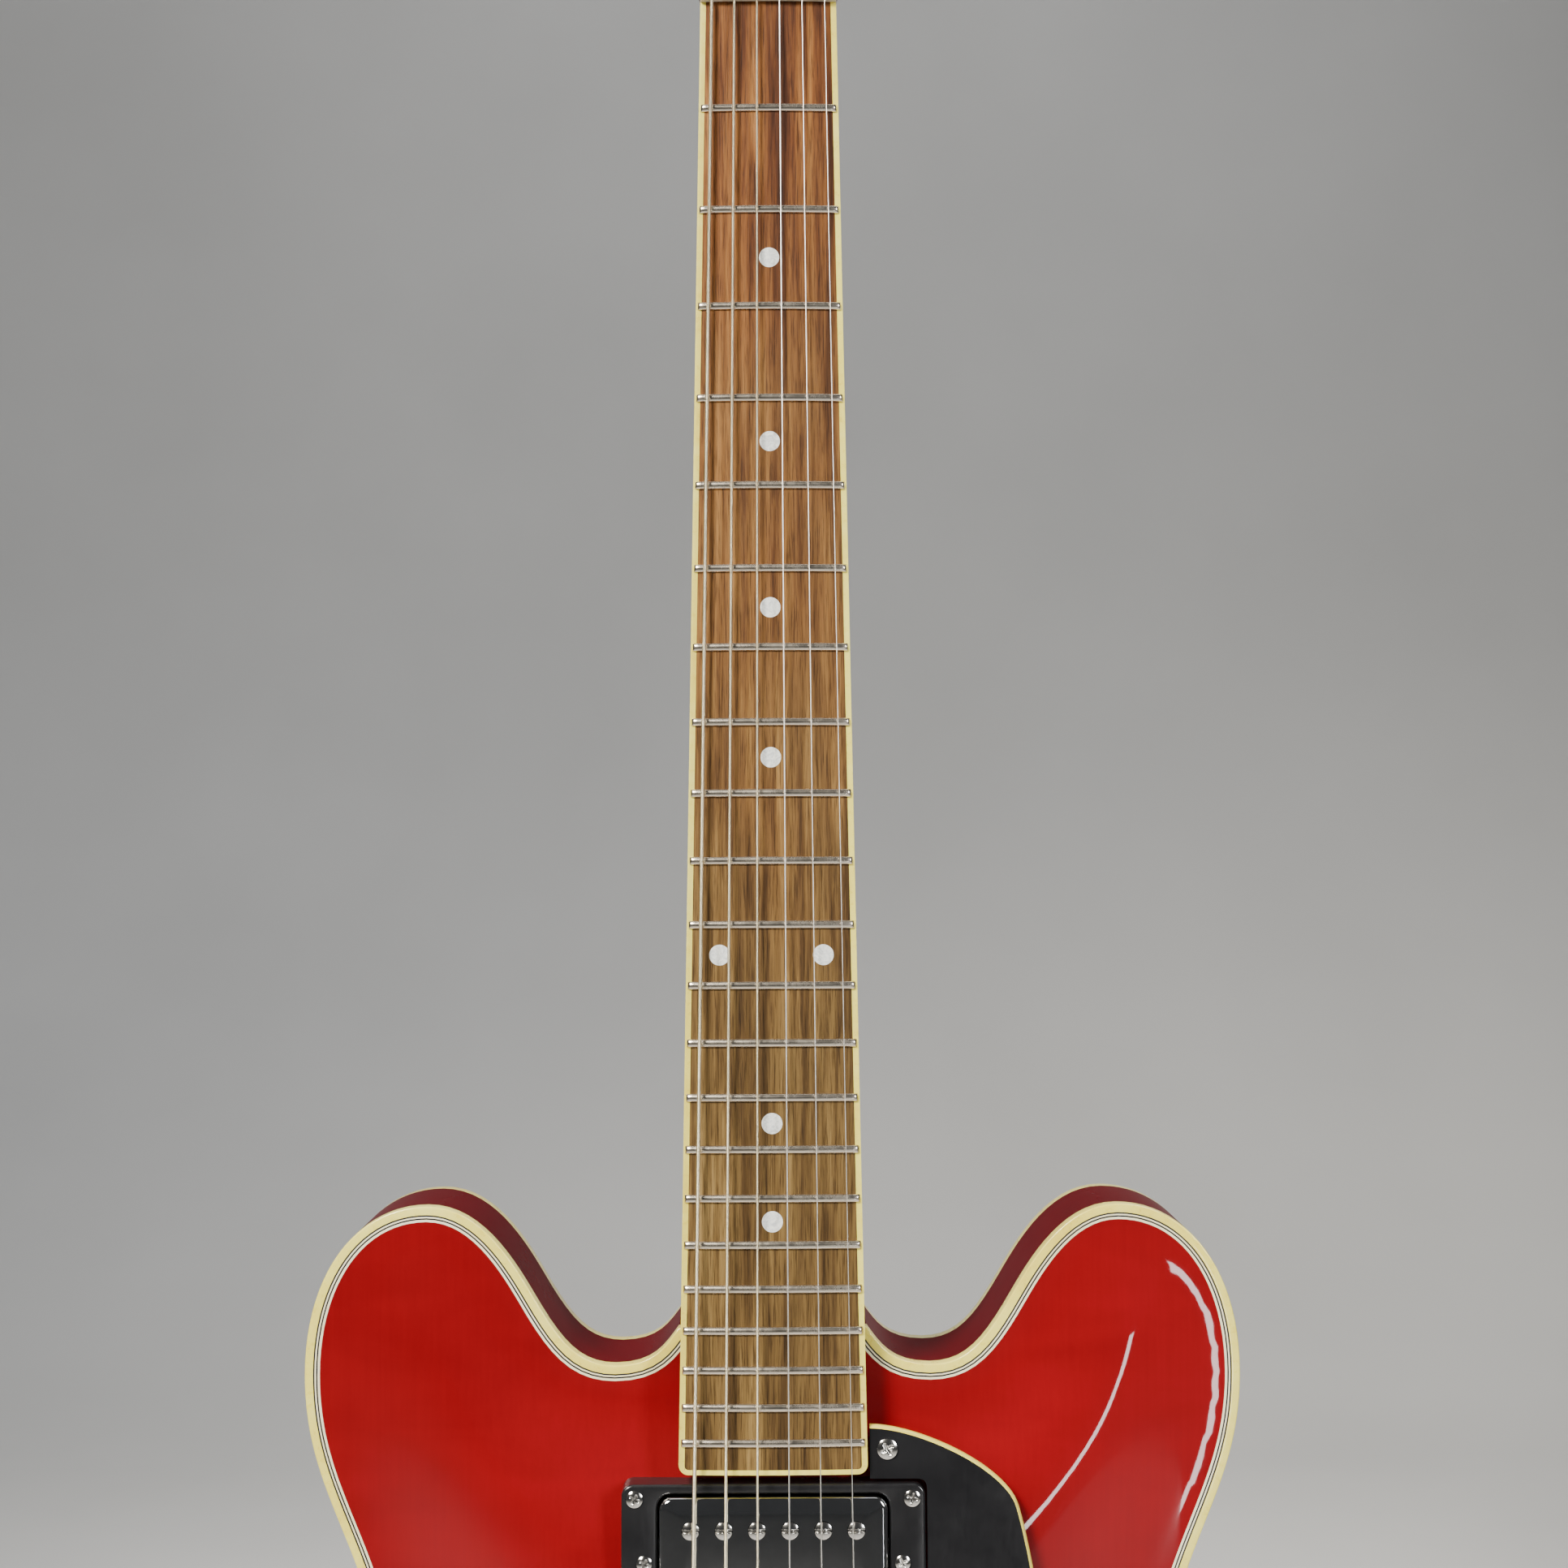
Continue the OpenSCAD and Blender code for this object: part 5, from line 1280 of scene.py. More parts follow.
def punched(shape, outer, holes, levels, paint=0, place=None):
    """A slab with holes: levels (inset, y) run round its outer side from the front face to the back."""
    face = inset(outer, levels[0][0])
    flat, triangles = triangulate([face] + holes)
    centres = flat[triangles].mean(axis=1)
    kept = inside(centres, face)
    for hole in holes:
        kept &= ~inside(centres, hole)
    triangles = triangles[kept]
    n = len(flat)
    front, back = levels[0][1], levels[-1][1]
    grown = [face] + [inset(outer, d) for d, _ in levels[1:-1]] + [inset(outer, levels[-1][0])]
    rear = flat.copy()
    rear[:len(face)] = grown[-1]
    points = [at_depth(flat, front), at_depth(rear, back)]
    faces = [list(t) for t in triangles] + [[n + i for i in t[::-1]] for t in triangles]
    count = 2 * n
    ids = [np.arange(len(face))]
    for ring, (_, y) in zip(grown[1:-1], levels[1:-1]):
        points.append(at_depth(ring, y))
        ids.append(np.arange(count, count + len(ring)))
        count += len(ring)
    ids.append(ids[0] + n)
    for a, b in zip(ids, ids[1:]):
        faces.extend([a[k], b[k], b[(k + 1) % len(a)], a[(k + 1) % len(a)]] for k in range(len(a)))
    start = len(face)
    for hole in holes:
        ring = np.arange(start, start + len(hole))
        faces.extend([ring[k], ring[(k + 1) % len(hole)], ring[(k + 1) % len(hole)] + n, ring[k] + n]
                     for k in range(len(hole)))
        start += len(hole)
    shape.add(np.concatenate(points), faces, paint, place)


def carve(piece, cutter, sharp=40):
    """Takes a shape away from a piece, as an applied boolean."""
    mesh = bpy.data.meshes.new("cutter")
    mesh.from_pydata((np.array(cutter.points) * MM).tolist(), [], cutter.faces)
    face_outward(mesh)
    tool = add_object("cutter", mesh)
    step = piece.modifiers.new("carve", "BOOLEAN")
    step.operation = "DIFFERENCE"
    step.solver = "EXACT"
    step.object = tool
    step.use_self = True
    graph = bpy.context.evaluated_depsgraph_get()
    carved = bpy.data.meshes.new_from_object(piece.evaluated_get(graph))
    piece.modifiers.clear()
    piece.data = carved
    shade(carved, sharp)
    bpy.data.objects.remove(tool)
    bpy.data.meshes.remove(mesh)


# ---- Strings ----

STRING_SIDES = 12
STRING_RISE_SADDLE = 4
STRING_RISE_NUT = 1.7
TAIL_Z = 191
TAIL_STRING_Y = -42
BALL_Z = TAIL_Z - 3
TUNER_V = [48, 87, 126]
TUNER_X = [24.5, 26.5, 28.5]
POST_R = 3.2
BORE_R = POST_R + 0.1
WRAP_R = 2.9
WRAP_GAP = 0.35
WRAP_START_Y = -7.4
WRAP_TURNS = 2
WRAP_STEPS = 32
BEND_R = 1.4


def tuner_side(i):
    return -1 if i < 3 else 1


def tuner_at(i):
    row = i if i < 3 else 5 - i
    return tuner_side(i) * TUNER_X[row], TUNER_V[row]


def tuner_frame(i):
    x, v = tuner_at(i)
    return HEAD @ move(x, 0, v)


def saddle_point(i):
    x = string_x(i, SADDLE_SPREAD)
    return placed([[x, crown_drop(x) - STRING_RISE_SADDLE - STRING_R[i], SADDLE_SHIFT[i]]], NECK)[0]


def nut_point(i):
    x = string_x(i, NUT_SPREAD)
    return placed([[x, crown_drop(x) - STRING_RISE_NUT - STRING_R[i], SCALE_L + NUT_T / 2]], NECK)[0]


def wrap_path(i):
    (x, v), side = tuner_at(i), tuner_side(i)
    r = WRAP_R + STRING_R[i] + WRAP_GAP
    share = np.arange(WRAP_TURNS * WRAP_STEPS + 1) / WRAP_STEPS
    a = 2 * math.pi * share
    return placed(np.stack([x - side * r * np.cos(a),
                            WRAP_START_Y + (2 * STRING_R[i] + 0.25) * share,
                            v + r * np.sin(a)], axis=1), HEAD)


def eased(points, r, steps=6):
    """A path through corner points, with each inner corner rounded within r."""
    points = [np.asarray(p, float) for p in points]
    out = [points[0]]
    for a, b, c in zip(points, points[1:], points[2:]):
        before, after = b + unit(a - b) * r, b + unit(c - b) * r
        for k in range(steps + 1):
            t = k / steps
            out.append((1 - t) ** 2 * before + 2 * t * (1 - t) * b + t * t * after)
    out.append(points[-1])
    return out


def make_strings():
    for i, r in enumerate(STRING_R):
        x = string_x(i, SADDLE_SPREAD)
        wraps = wrap_path(i)
        run = eased([(x, TAIL_STRING_Y, BALL_Z), (x, TAIL_STRING_Y, TAIL_Z + 7), saddle_point(i),
                     nut_point(i), wraps[0]], BEND_R)
        string = Shape()
        string.tube(np.concatenate([np.array(run), wraps[1:]]), r, STRING_SIDES, ref=(0, 1, 0.02))
        ball = [(0, 0), (1.7, 0), (2.0, 0.3), (2.0, 2.7), (1.7, 3), (0, 3)]
        string.lathe(ball, 24, place=move(x, TAIL_STRING_Y, BALL_Z - 3))
        paint = WOUND_WIRE if i < WOUND_STRINGS else PLAIN_WIRE
        build(string, f"string_{i + 1}", "strings", "string_steel", paint, sharp=50)


# ---- Pickups ----

PICKUP_FACE_Y = [-38.6, -47.2]
PICKUP_TILT = math.radians(4.3)
COVER = (69, 39.6, 4)
COVER_DEPTH = 14.2
COVER_EDGE_R = 1.5
RING = (92, 46.6, 3.5)
RING_FRONT = 2.2
RING_SCREW_X = 42
RING_SCREW_Z = 19
HEIGHT_SCREW_X = 39
POLE_OFFSET = 10
POLE_PITCH = 10
POLE_SIDE = [1, -1]
POLE_R = 2.6


def pickup_frame(k):
    return move(0, PICKUP_FACE_Y[k], PICKUP_Z[k]) @ turn(-PICKUP_TILT, "X")


def make_pickup(k):
    where = ("neck", "bridge")[k]
    place = pickup_frame(k)
    poles = [((i - 2.5) * POLE_PITCH, POLE_SIDE[k] * POLE_OFFSET) for i in range(6)]
    cover = Shape(place)
    holes = [circle(POLE_R + 0.16, 28, p) for p in poles]
    punched(cover, rounded_rect(*COVER, steps=9), holes, half_round(0, COVER_DEPTH, COVER_EDGE_R, 0, 6))
    build(cover, f"{where}_pickup_shell", f"{where}_pickup_cover", "nickel", CHROME, sharp=30)
    screws = Shape(place)
    for x, z in poles:
        polar_cap(screws, POLE_R, slot_head(POLE_R, 1.1, 0.34, 0.75), foot=3, place=move(x, 0, z))
    build(screws, f"{where}_pole_screws", "pickup_pole_screws", "nickel", sharp=50)
    make_pickup_ring(where, place)
    fasteners = Shape(place @ move(0, RING_FRONT, 0))
    for x in (-1, 1):
        for z in (-1, 1):
            polar_cap(fasteners, 2.5, cross_head(2.5, 1), foot=3,
                      place=move(x * RING_SCREW_X, 0, z * RING_SCREW_Z) @ turn(0.7 * x + 0.4 * z, "Y"))
        polar_cap(fasteners, 2.3, cross_head(2.3, 1), foot=3,
                  place=move(x * HEIGHT_SCREW_X, 0, 0) @ turn(0.3 * x, "Y"))
    build(fasteners, f"{where}_ring_screws", "pickup_ring_screws", "nickel", sharp=50)


def make_pickup_ring(where, place):
    """The surround: its front tilts with the pickup and its back follows the arched top."""
    outer = rounded_rect(*RING, steps=8)
    inner = rounded_rect(COVER[0] + 1.4, COVER[1] + 1.4, COVER[2], steps=8)
    edge = 0.9
    rings = [placed(at_depth(inset(outer, d), y), place)
             for d, y in half_round(RING_FRONT, RING_FRONT, edge, 0, 5)[:-1]]
    for loop in (outer, inner):
        foot = placed(at_depth(loop, 0), place)
        foot[:, 1] = RIM_FRONT - TOP_RISE * arch(foot[:, [0, 2]]) + 0.05
        rings.append(foot)
    for d, lift in ((0, 0.5), (-0.35, 0.08), (-0.6, 0)):
        rings.append(placed(at_depth(inset(inner, d), RING_FRONT + lift), place))
    ring = Shape()
    ring.loft(rings[::-1], looped=True)
    build(ring, f"{where}_pickup_surround", "pickup_rings", "black_plastic")


# ---- Pickguard ----

GUARD_TILT = math.radians(3)
GUARD_Y = -32.4
GUARD_Z = 373
GUARD_T = 2.4
GUARD_EDGE_W = 1
GUARD = [
    [(29.3, 397.4), (29.3, 403), (29.3, 409), (29.3, 413.4)],
    [(29.3, 413.4), (44, 413.4), (71, 401), (74.5, 389)],
    [(74.5, 389), (78.5, 375), (82.5, 350), (82.5, 330)],
    [(82.5, 330), (82.5, 306), (80, 296), (72, 286)],
    [(72, 286), (66, 278.5), (58, 272), (52, 272)],
    [(52, 272), (47.6, 272), (46.6, 276), (46.6, 280)],
    [(46.6, 280), (46.6, 320), (46.6, 360), (46.6, 394)],
    [(46.6, 394), (46.6, 397.4), (45, 397.4), (42, 397.4)],
]
GUARD_STEPS = [4, 28, 16, 16, 12, 10, 4, 6]
GUARD_BOUND = (11, 91)
GUARD_SCREW = (34.6, 406.3)
WAIST_HALF = 117.5
STRAP_Z = 311
STRAP_W = 8
STRAP_T = 1.2


def make_guard():
    place = move(0, GUARD_Y, GUARD_Z) @ turn(-GUARD_TILT, "X") @ move(0, 0, -GUARD_Z)
    outline = chain(GUARD, GUARD_STEPS, end=False)[::-1]
    inner = inset(outline, GUARD_EDGE_W)
    first, last = GUARD_BOUND
    inner[last] = outline[last] - [0, GUARD_EDGE_W]
    face = outline.copy()
    face[first:last + 1] = inner[first:last + 1]
    plate_shape = Shape(place)
    plate_shape.loft([at_depth(face, -GUARD_T), at_depth(face, -0.3)])
    build(plate_shape, "guard_plate", "pickguard", "black_plastic", GUARD_BLACK)
    edge = Shape(place)
    section = [(1, -GUARD_T), (0.55, -GUARD_T + 0.3), (0.2, -GUARD_T + 0.8), (0, -GUARD_T + 1.4), (0, 0),
               (1, 0)]
    rings = []
    for k in range(first, last + 1):
        spots = [outline[k] + (inner[k] - outline[k]) * share for share, _ in section]
        rings.append(at_depth(spots, [y for _, y in section]))
    edge.loft(rings)
    build(edge, "guard_edge", "pickguard_binding", "cream_binding")
    screw = Shape(place @ move(GUARD_SCREW[0], -GUARD_T, GUARD_SCREW[1]))
    polar_cap(screw, 3.1, cross_head(3.1, 1.2), foot=1, place=turn(0.25, "Y"))
    screw.lathe([(0, -0.9), (1.25, -0.9), (1.25, -11), (0, -12)], 24, place=LATHE_FRONT)
    build(screw, "guard_screw", "pickguard_bracket", "nickel", sharp=50)
    strap = Shape(place)
    bend = [(66, 0.65)]
    corner_x = WAIST_HALF + 1.2
    for k in range(9):
        a = math.pi / 2 * k / 8
        bend.append((corner_x - 3 + 3 * math.sin(a), 0.65 + 3 - 3 * math.cos(a)))
    bend.append((corner_x, 23.5))
    thick, thin = STRAP_T / 2, 0.4 * STRAP_T / 2
    wide, narrow = STRAP_W / 2, STRAP_W / 2 - 0.3
    section = [(thick, -narrow), (thick, narrow), (thin, wide), (-thin, wide),
               (-thick, narrow), (-thick, -narrow), (-thin, -wide), (thin, -wide)]
    strap.loft([np.array([[x + nx * out, y + ny * out, STRAP_Z + along] for out, along in section])
                for (x, y), (nx, ny) in zip(bend, bend_normals(bend))])
    polar_cap(strap, 2.4, cross_head(2.4, 1), foot=1,
              place=move(corner_x + thick, 16, STRAP_Z) @ turn(math.pi / 2, "Z"))
    build(strap, "guard_bracket", "pickguard_bracket", "nickel", sharp=30)


def bend_normals(path):
    path = np.array(path, float)
    along = unit(np.gradient(path, axis=0))
    return np.stack([along[:, 1], -along[:, 0]], axis=1)


# ---- Bridge and tailpiece ----

BRIDGE_POST_X = 37
TAIL_STUD_X = 41.3
BRIDGE_W = 90
BRIDGE_DEPTH = 12
BRIDGE_FRONT = -49.8
BRIDGE_BACK = -43
BRIDGE_Z = SADDLE_Z - 1.8
SADDLE_L = 4.6
SADDLE_SCREW_Y = -46.9
THUMBWHEEL_R = 6.5


def make_bridge():
    base = Shape(move(0, 0, BRIDGE_Z))
    outer = rounded_rect(BRIDGE_W, BRIDGE_DEPTH, 5.9, steps=10)
    inner = rounded_rect(64, 8.4, 0.5, steps=10)
    base.frame(outer, inner, [(0, BRIDGE_BACK), (0, BRIDGE_FRONT + 1), (0.03, BRIDGE_FRONT + 0.45),
                              (0.1, BRIDGE_FRONT + 0.12), (0.2, BRIDGE_FRONT), (0.85, BRIDGE_FRONT),
                              (1, BRIDGE_FRONT + 0.3), (1, BRIDGE_BACK)])
    base.prism(inner, [(0.01, BRIDGE_BACK - 2), (0.01, BRIDGE_BACK - 0.05)])
    build(base, "bridge_body", "bridge_base", "nickel", sharp=35)
    saddles = Shape()
    for i in range(6):
        make_saddle(saddles, i)
    build(saddles, "string_saddles", "bridge_saddles", "nickel", sharp=35)
    screws = Shape()
    head_z = BRIDGE_Z - BRIDGE_DEPTH / 2
    for i in range(6):
        place = move(string_x(i, SADDLE_SPREAD), SADDLE_SCREW_Y, head_z) @ turn(math.pi / 2, "X")
        polar_cap(screws, 2, slot_head(2, 1.6, 0.3, 0.8), 40, 10, place=place)
        thread = [(0, 0)] + [(1.15 - 0.2 * (k % 2), 0.2 + 0.28 * k) for k in range(41)] + [(0, 11.6)]
        screws.lathe(thread, 16, place=move(string_x(i, SADDLE_SPREAD), SADDLE_SCREW_Y, head_z))
    build(screws, "saddle_adjust_screws", "saddle_screws", "nickel", sharp=35)
    posts = Shape()
    for side in (-1, 1):
        place = move(side * BRIDGE_POST_X, 0, SADDLE_Z)
        polar_cap(posts, 1.95, slot_head(1.95, 0.3, 0.3, 0.3), 32, 8, foot=30,
                  place=place @ move(0, BRIDGE_FRONT - 0.05, 0))
        wheel = [(2.1, 43.1), (2.1, 40.5), (THUMBWHEEL_R - 0.5, 40.5), (THUMBWHEEL_R, 40.8),
                 (THUMBWHEEL_R, 42.8), (THUMBWHEEL_R - 0.5, 43.1)]
        spin(posts, wheel, 144, place=place @ LATHE_FRONT, flute=knurl(36, 0.28, THUMBWHEEL_R))
        insert = [(2.1, 0.8), (2.1, -6), (3.2, -6), (3.2, 0.6), (3.0, 0.8)]
        spin(posts, insert, 40, place=place @ move(0, top_y((BRIDGE_POST_X, SADDLE_Z)), 0) @ LATHE_FRONT)
    build(posts, "bridge_post_set", "bridge_posts", "nickel", sharp=35)


def make_saddle(shape, i):
    """A saddle: a wedge whose ridge carries a notch for its string."""
    x0, y0, z0 = saddle_point(i)
    r = STRING_R[i]
    crest = y0 + r + 0.02
    rings = []
    stations = [(-4, 0.35), (-3.7, 0), (-r - 0.35, 0), (-r, 0.02), (0, r + 0.02), (r, 0.02), (r + 0.35, 0),
                (3.7, 0), (4, 0.35)]
    for x, fall in stations:
        top = crest - r + fall
        half = SADDLE_L / 2 - (0.3 if abs(x) > 3.9 else 0)
        side = [(BRIDGE_BACK - 2.1, -half), (crest + 3.2, -half), (top + 0.25, -0.6), (top, -0.25),
                (top, 0.25), (top + 0.25, 0.6), (crest + 3.2, half), (BRIDGE_BACK - 2.1, half)]
        rings.append(np.array([[x0 + x, y, z0 + z] for y, z in side]))
    shape.loft(rings)


TAIL_W = 101
TAIL_FRONT = -46.6
TAIL_BACK = -37.2
TAIL_CURVE = [
    [(-8, -39), (-8, -44), (-5, TAIL_FRONT), (0, TAIL_FRONT)],
    [(0, TAIL_FRONT), (5, TAIL_FRONT), (8, -44), (8, -40)],
    [(8, -40), (8, -38), (7, TAIL_BACK), (5, TAIL_BACK)],
    [(5, TAIL_BACK), (2, TAIL_BACK), (-6, TAIL_BACK), (-8, -39)],
]


def make_tailpiece():
    section = chain(TAIL_CURVE, [12, 12, 8, 6], end=False)
    middle = (TAIL_FRONT + TAIL_BACK) / 2
    bar = Shape(move(0, 0, TAIL_Z))
    end_r = 8
    straight = TAIL_W / 2 - end_r
    places = np.concatenate([np.linspace(0, straight, 6),
                             straight + end_r * np.sin(np.linspace(0.15, 1, 9) * math.pi / 2)])
    places = np.concatenate([-places[::-1], places[1:]])
    rings = []
    for x in places:
        beyond = max(abs(x) - straight, 0) / end_r
        narrow = math.sqrt(max(1 - beyond ** 2, 0.0016))
        low_y = 1 - 0.35 * beyond ** 3
        rings.append(np.stack([np.full(len(section), x), middle + (section[:, 1] - middle) * low_y,
                               section[:, 0] * narrow], axis=1))
    bar.loft(rings)
    piece = build(bar, "tailpiece_bar", "tailpiece", "nickel", sharp=35)
    cutter = Shape()
    for i in range(6):
        cutter.lathe([(0, -20), (1.4, -20), (1.4, 20), (0, 20)], 20,
                     place=move(string_x(i, SADDLE_SPREAD), TAIL_STRING_Y, TAIL_Z))
        cutter.lathe([(0, -20), (2.2, -20), (2.2, -2.9), (0, -2.9)], 20,
                     place=move(string_x(i, SADDLE_SPREAD), TAIL_STRING_Y, TAIL_Z))
    for side in (-1, 1):
        slot = rounded_rect(16, 7.2, 3.55, steps=6)
        cutter.prism(slot + [side * (TAIL_STUD_X - 3.6 + 8), TAIL_Z], [(0, -60), (0, -30)])
    carve(piece, cutter, 35)
    studs = Shape()
    for side in (-1, 1):
        place = move(side * TAIL_STUD_X, 0, TAIL_Z)
        polar_cap(studs, 6.6, slot_head(6.6, 2.2, 0.8, 1.0), 72, 16, foot=0,
                  place=place @ move(0, TAIL_FRONT, 0))
        top, under = -TAIL_FRONT - 0.05, -TAIL_BACK
        stem = [(0, top), (3.4, top), (3.4, under), (6.3, under), (6.6, under - 0.3), (6.6, under - 1.1),
                (6.3, under - 1.4), (3.9, under - 1.4), (3.9, 10), (0, 10)]
        studs.lathe(stem, 48, place=place @ LATHE_FRONT)
        insert = [(3.95, 0.95), (3.95, -8), (5.45, -8), (5.45, 0.05), (6.9, 0.05), (7.0, 0.3), (6.7, 1.0)]
        spin(studs, insert, 56, place=place @ move(0, top_y((TAIL_STUD_X, TAIL_Z)), 0) @ LATHE_FRONT)
    build(studs, "tailpiece_stud_set", "tailpiece_studs", "nickel", sharp=35)


make_strings()
make_pickup(0)
make_pickup(1)
make_guard()
make_bridge()
make_tailpiece()


# ---- Headstock fittings and tuners ----

TRUSS_COVER = [
    [(0, 3), (9, 3), (13.5, 4), (13.5, 9)],
    [(13.5, 9), (13.5, 18), (6.5, 17), (6.5, 28)],
    [(6.5, 28), (6.5, 34), (4, 38), (0, 38)],
]
TRUSS_COVER_T = 2
TRUSS_SCREWS = [(-9.5, 8), (9.5, 8), (0, 33.5)]
POST_FRONT = -14
WORM_Y = 19
WORM_PITCH = 2.2
GEAR_TEETH = 14
GEAR_R = GEAR_TEETH * WORM_PITCH / (2 * math.pi)
WORM_R = 2
WORM_WAVE = 0.55
WORM_L = 8.8
WORM_STEPS = 16
WORM_DROP = GEAR_R + WORM_R + 0.35
HOUSING_HALF = 8
HOUSING_H = 20.5
HOUSING_DEPTH = 9.5
BUTTON_X = 25
BUTTON_HALF = (9.2, 7)
BUTTON_T = 6.4
BUTTON_POWER = 2.6


def make_truss_cover():
    right = chain(TRUSS_COVER, [14, 18, 12])
    left = right[-2:0:-1] * [-1, 1]
    cover = Shape(HEAD)
    cover.prism(np.concatenate([right, left]), half_round(-TRUSS_COVER_T, 0, 0.6, 0, 4))
    build(cover, "rod_cover_plate", "truss_rod_cover", "black_plastic", sharp=50)
    screws = Shape(HEAD)
    for x, v in TRUSS_SCREWS:
        polar_cap(screws, 2.2, cross_head(2.2, 1), 40, 10, foot=1, place=move(x, -TRUSS_COVER_T, v))
    for i in range(6):
        x, v = tuner_at(i)
        for side in (-1, 1):
            polar_cap(screws, 1.9, cross_head(1.9, 0.9), 40, 10, foot=1,
                      place=move(x + 6 * side, HEAD_T + 1, v + 10.4) @ turn(math.pi, "X"))
    build(screws, "headstock_screw_set", "headstock_screws", "nickel", sharp=50)


def make_housings():
    """Die-cast gear housings: rounded boxes, hollow, with a screwed ear."""
    level = half_round(0, HOUSING_DEPTH, 0, 2.6, 6)
    for i in range(6):
        place = tuner_frame(i)
        body = Shape(place)
        body.prism(rounded_rect(2 * HOUSING_HALF, HOUSING_H, 3.4, steps=8) + [0, -2],
                   [(d, HEAD_T + y) for d, y in level])
        ear = Shape(place)
        ear.prism(rounded_rect(16, 6, 2.5, steps=8) + [0, 9.4],
                  half_round(HEAD_T + 0.02, HEAD_T + 1, 0, 0.35, 3))
        boss = [(0, 0), (4.1, 0), (4.1, 0.25), (3.8, 0.55), (0, 0.55)]
        ear.lathe(boss, 40, place=move(0, HEAD_T + HOUSING_DEPTH - 0.4, -2) @ LATHE_BACK)
        piece = build(body, f"gear_housing_{i + 1}", "tuner_housings", "nickel")
        cutter = Shape(place)
        cutter.prism(rounded_rect(2 * HOUSING_HALF - 2, HOUSING_H - 2, 2.4, steps=8) + [0, -2],
                     [(0, HEAD_T + 1), (0, HEAD_T + HOUSING_DEPTH - 1)])
        cutter.lathe([(0, -20), (2.1, -20), (2.1, 20), (0, 20)], 32,
                     place=move(0, WORM_Y, -WORM_DROP) @ turn(math.pi / 2, "Y"))
        cutter.lathe([(0, HEAD_T - 1), (BORE_R, HEAD_T - 1), (BORE_R, HEAD_T + 2), (0, HEAD_T + 2)], 40,
                     place=LATHE_BACK)
        carve(piece, cutter, 40)
        build(ear, f"housing_ear_{i + 1}", "tuner_housings", "nickel")


def make_bushings():
    for i in range(6):
        fittings = Shape(tuner_frame(i) @ LATHE_FRONT)
        spin(fittings, [(BORE_R, 0), (5.8, 0), (6.2, 0.25), (6.2, 0.7), (5.9, 1), (BORE_R, 1)], 56)
        nut = [(BORE_R, 1), (5.6, 1), (5.6, 2.6), (4.8, 3), (BORE_R + 0.4, 3), (BORE_R, 2.8)]
        spin(fittings, nut, 60, flute=hexagon(5.6))
        spin(fittings, [(BORE_R, 0), (4.2, 0), (4.2, -5.9), (BORE_R, -5.9)], 40)
        build(fittings, f"tuner_bushing_{i + 1}", "tuner_bushings", "nickel", sharp=30)


def make_post(i):
    place, body = tuner_frame(i), f"tuner_post_{i + 1}"
    post = Shape(place)
    top = -POST_FRONT
    profile = [(0, top - 0.9), (0.5, top - 0.9), (1.5, top - 0.05), (2.6, top), (3.0, top - 0.15),
               (POST_R, top - 0.5), (POST_R, 10.9), (3.05, 10.6), (WRAP_R, 10.3), (WRAP_R, 3.9),
               (3.05, 3.7), (POST_R, 3.5), (POST_R, -WORM_Y), (0, -WORM_Y)]
    post.lathe(profile, 48, place=LATHE_FRONT)
    piece = build(post, f"string_post_{i + 1}", body, "nickel", body=body)
    bore = Shape(place)
    bore.lathe([(0, -6), (0.8, -6), (0.8, 6), (0, 6)], 20, place=move(0, -9, 0))
    carve(piece, bore, 40)
    gear = Shape(place)
    share = full_turn(GEAR_TEETH * 12)
    radius = GEAR_R - WORM_WAVE * np.cos(GEAR_TEETH * (share + math.pi / 2))
    teeth = np.stack([radius * np.cos(share), radius * np.sin(share)], axis=1)
    gear.loft([at_depth(teeth, WORM_Y - 1.5), at_depth(teeth, WORM_Y + 1.5)])
    build(gear, f"post_gear_{i + 1}", body, "nickel", body=body, sharp=60)


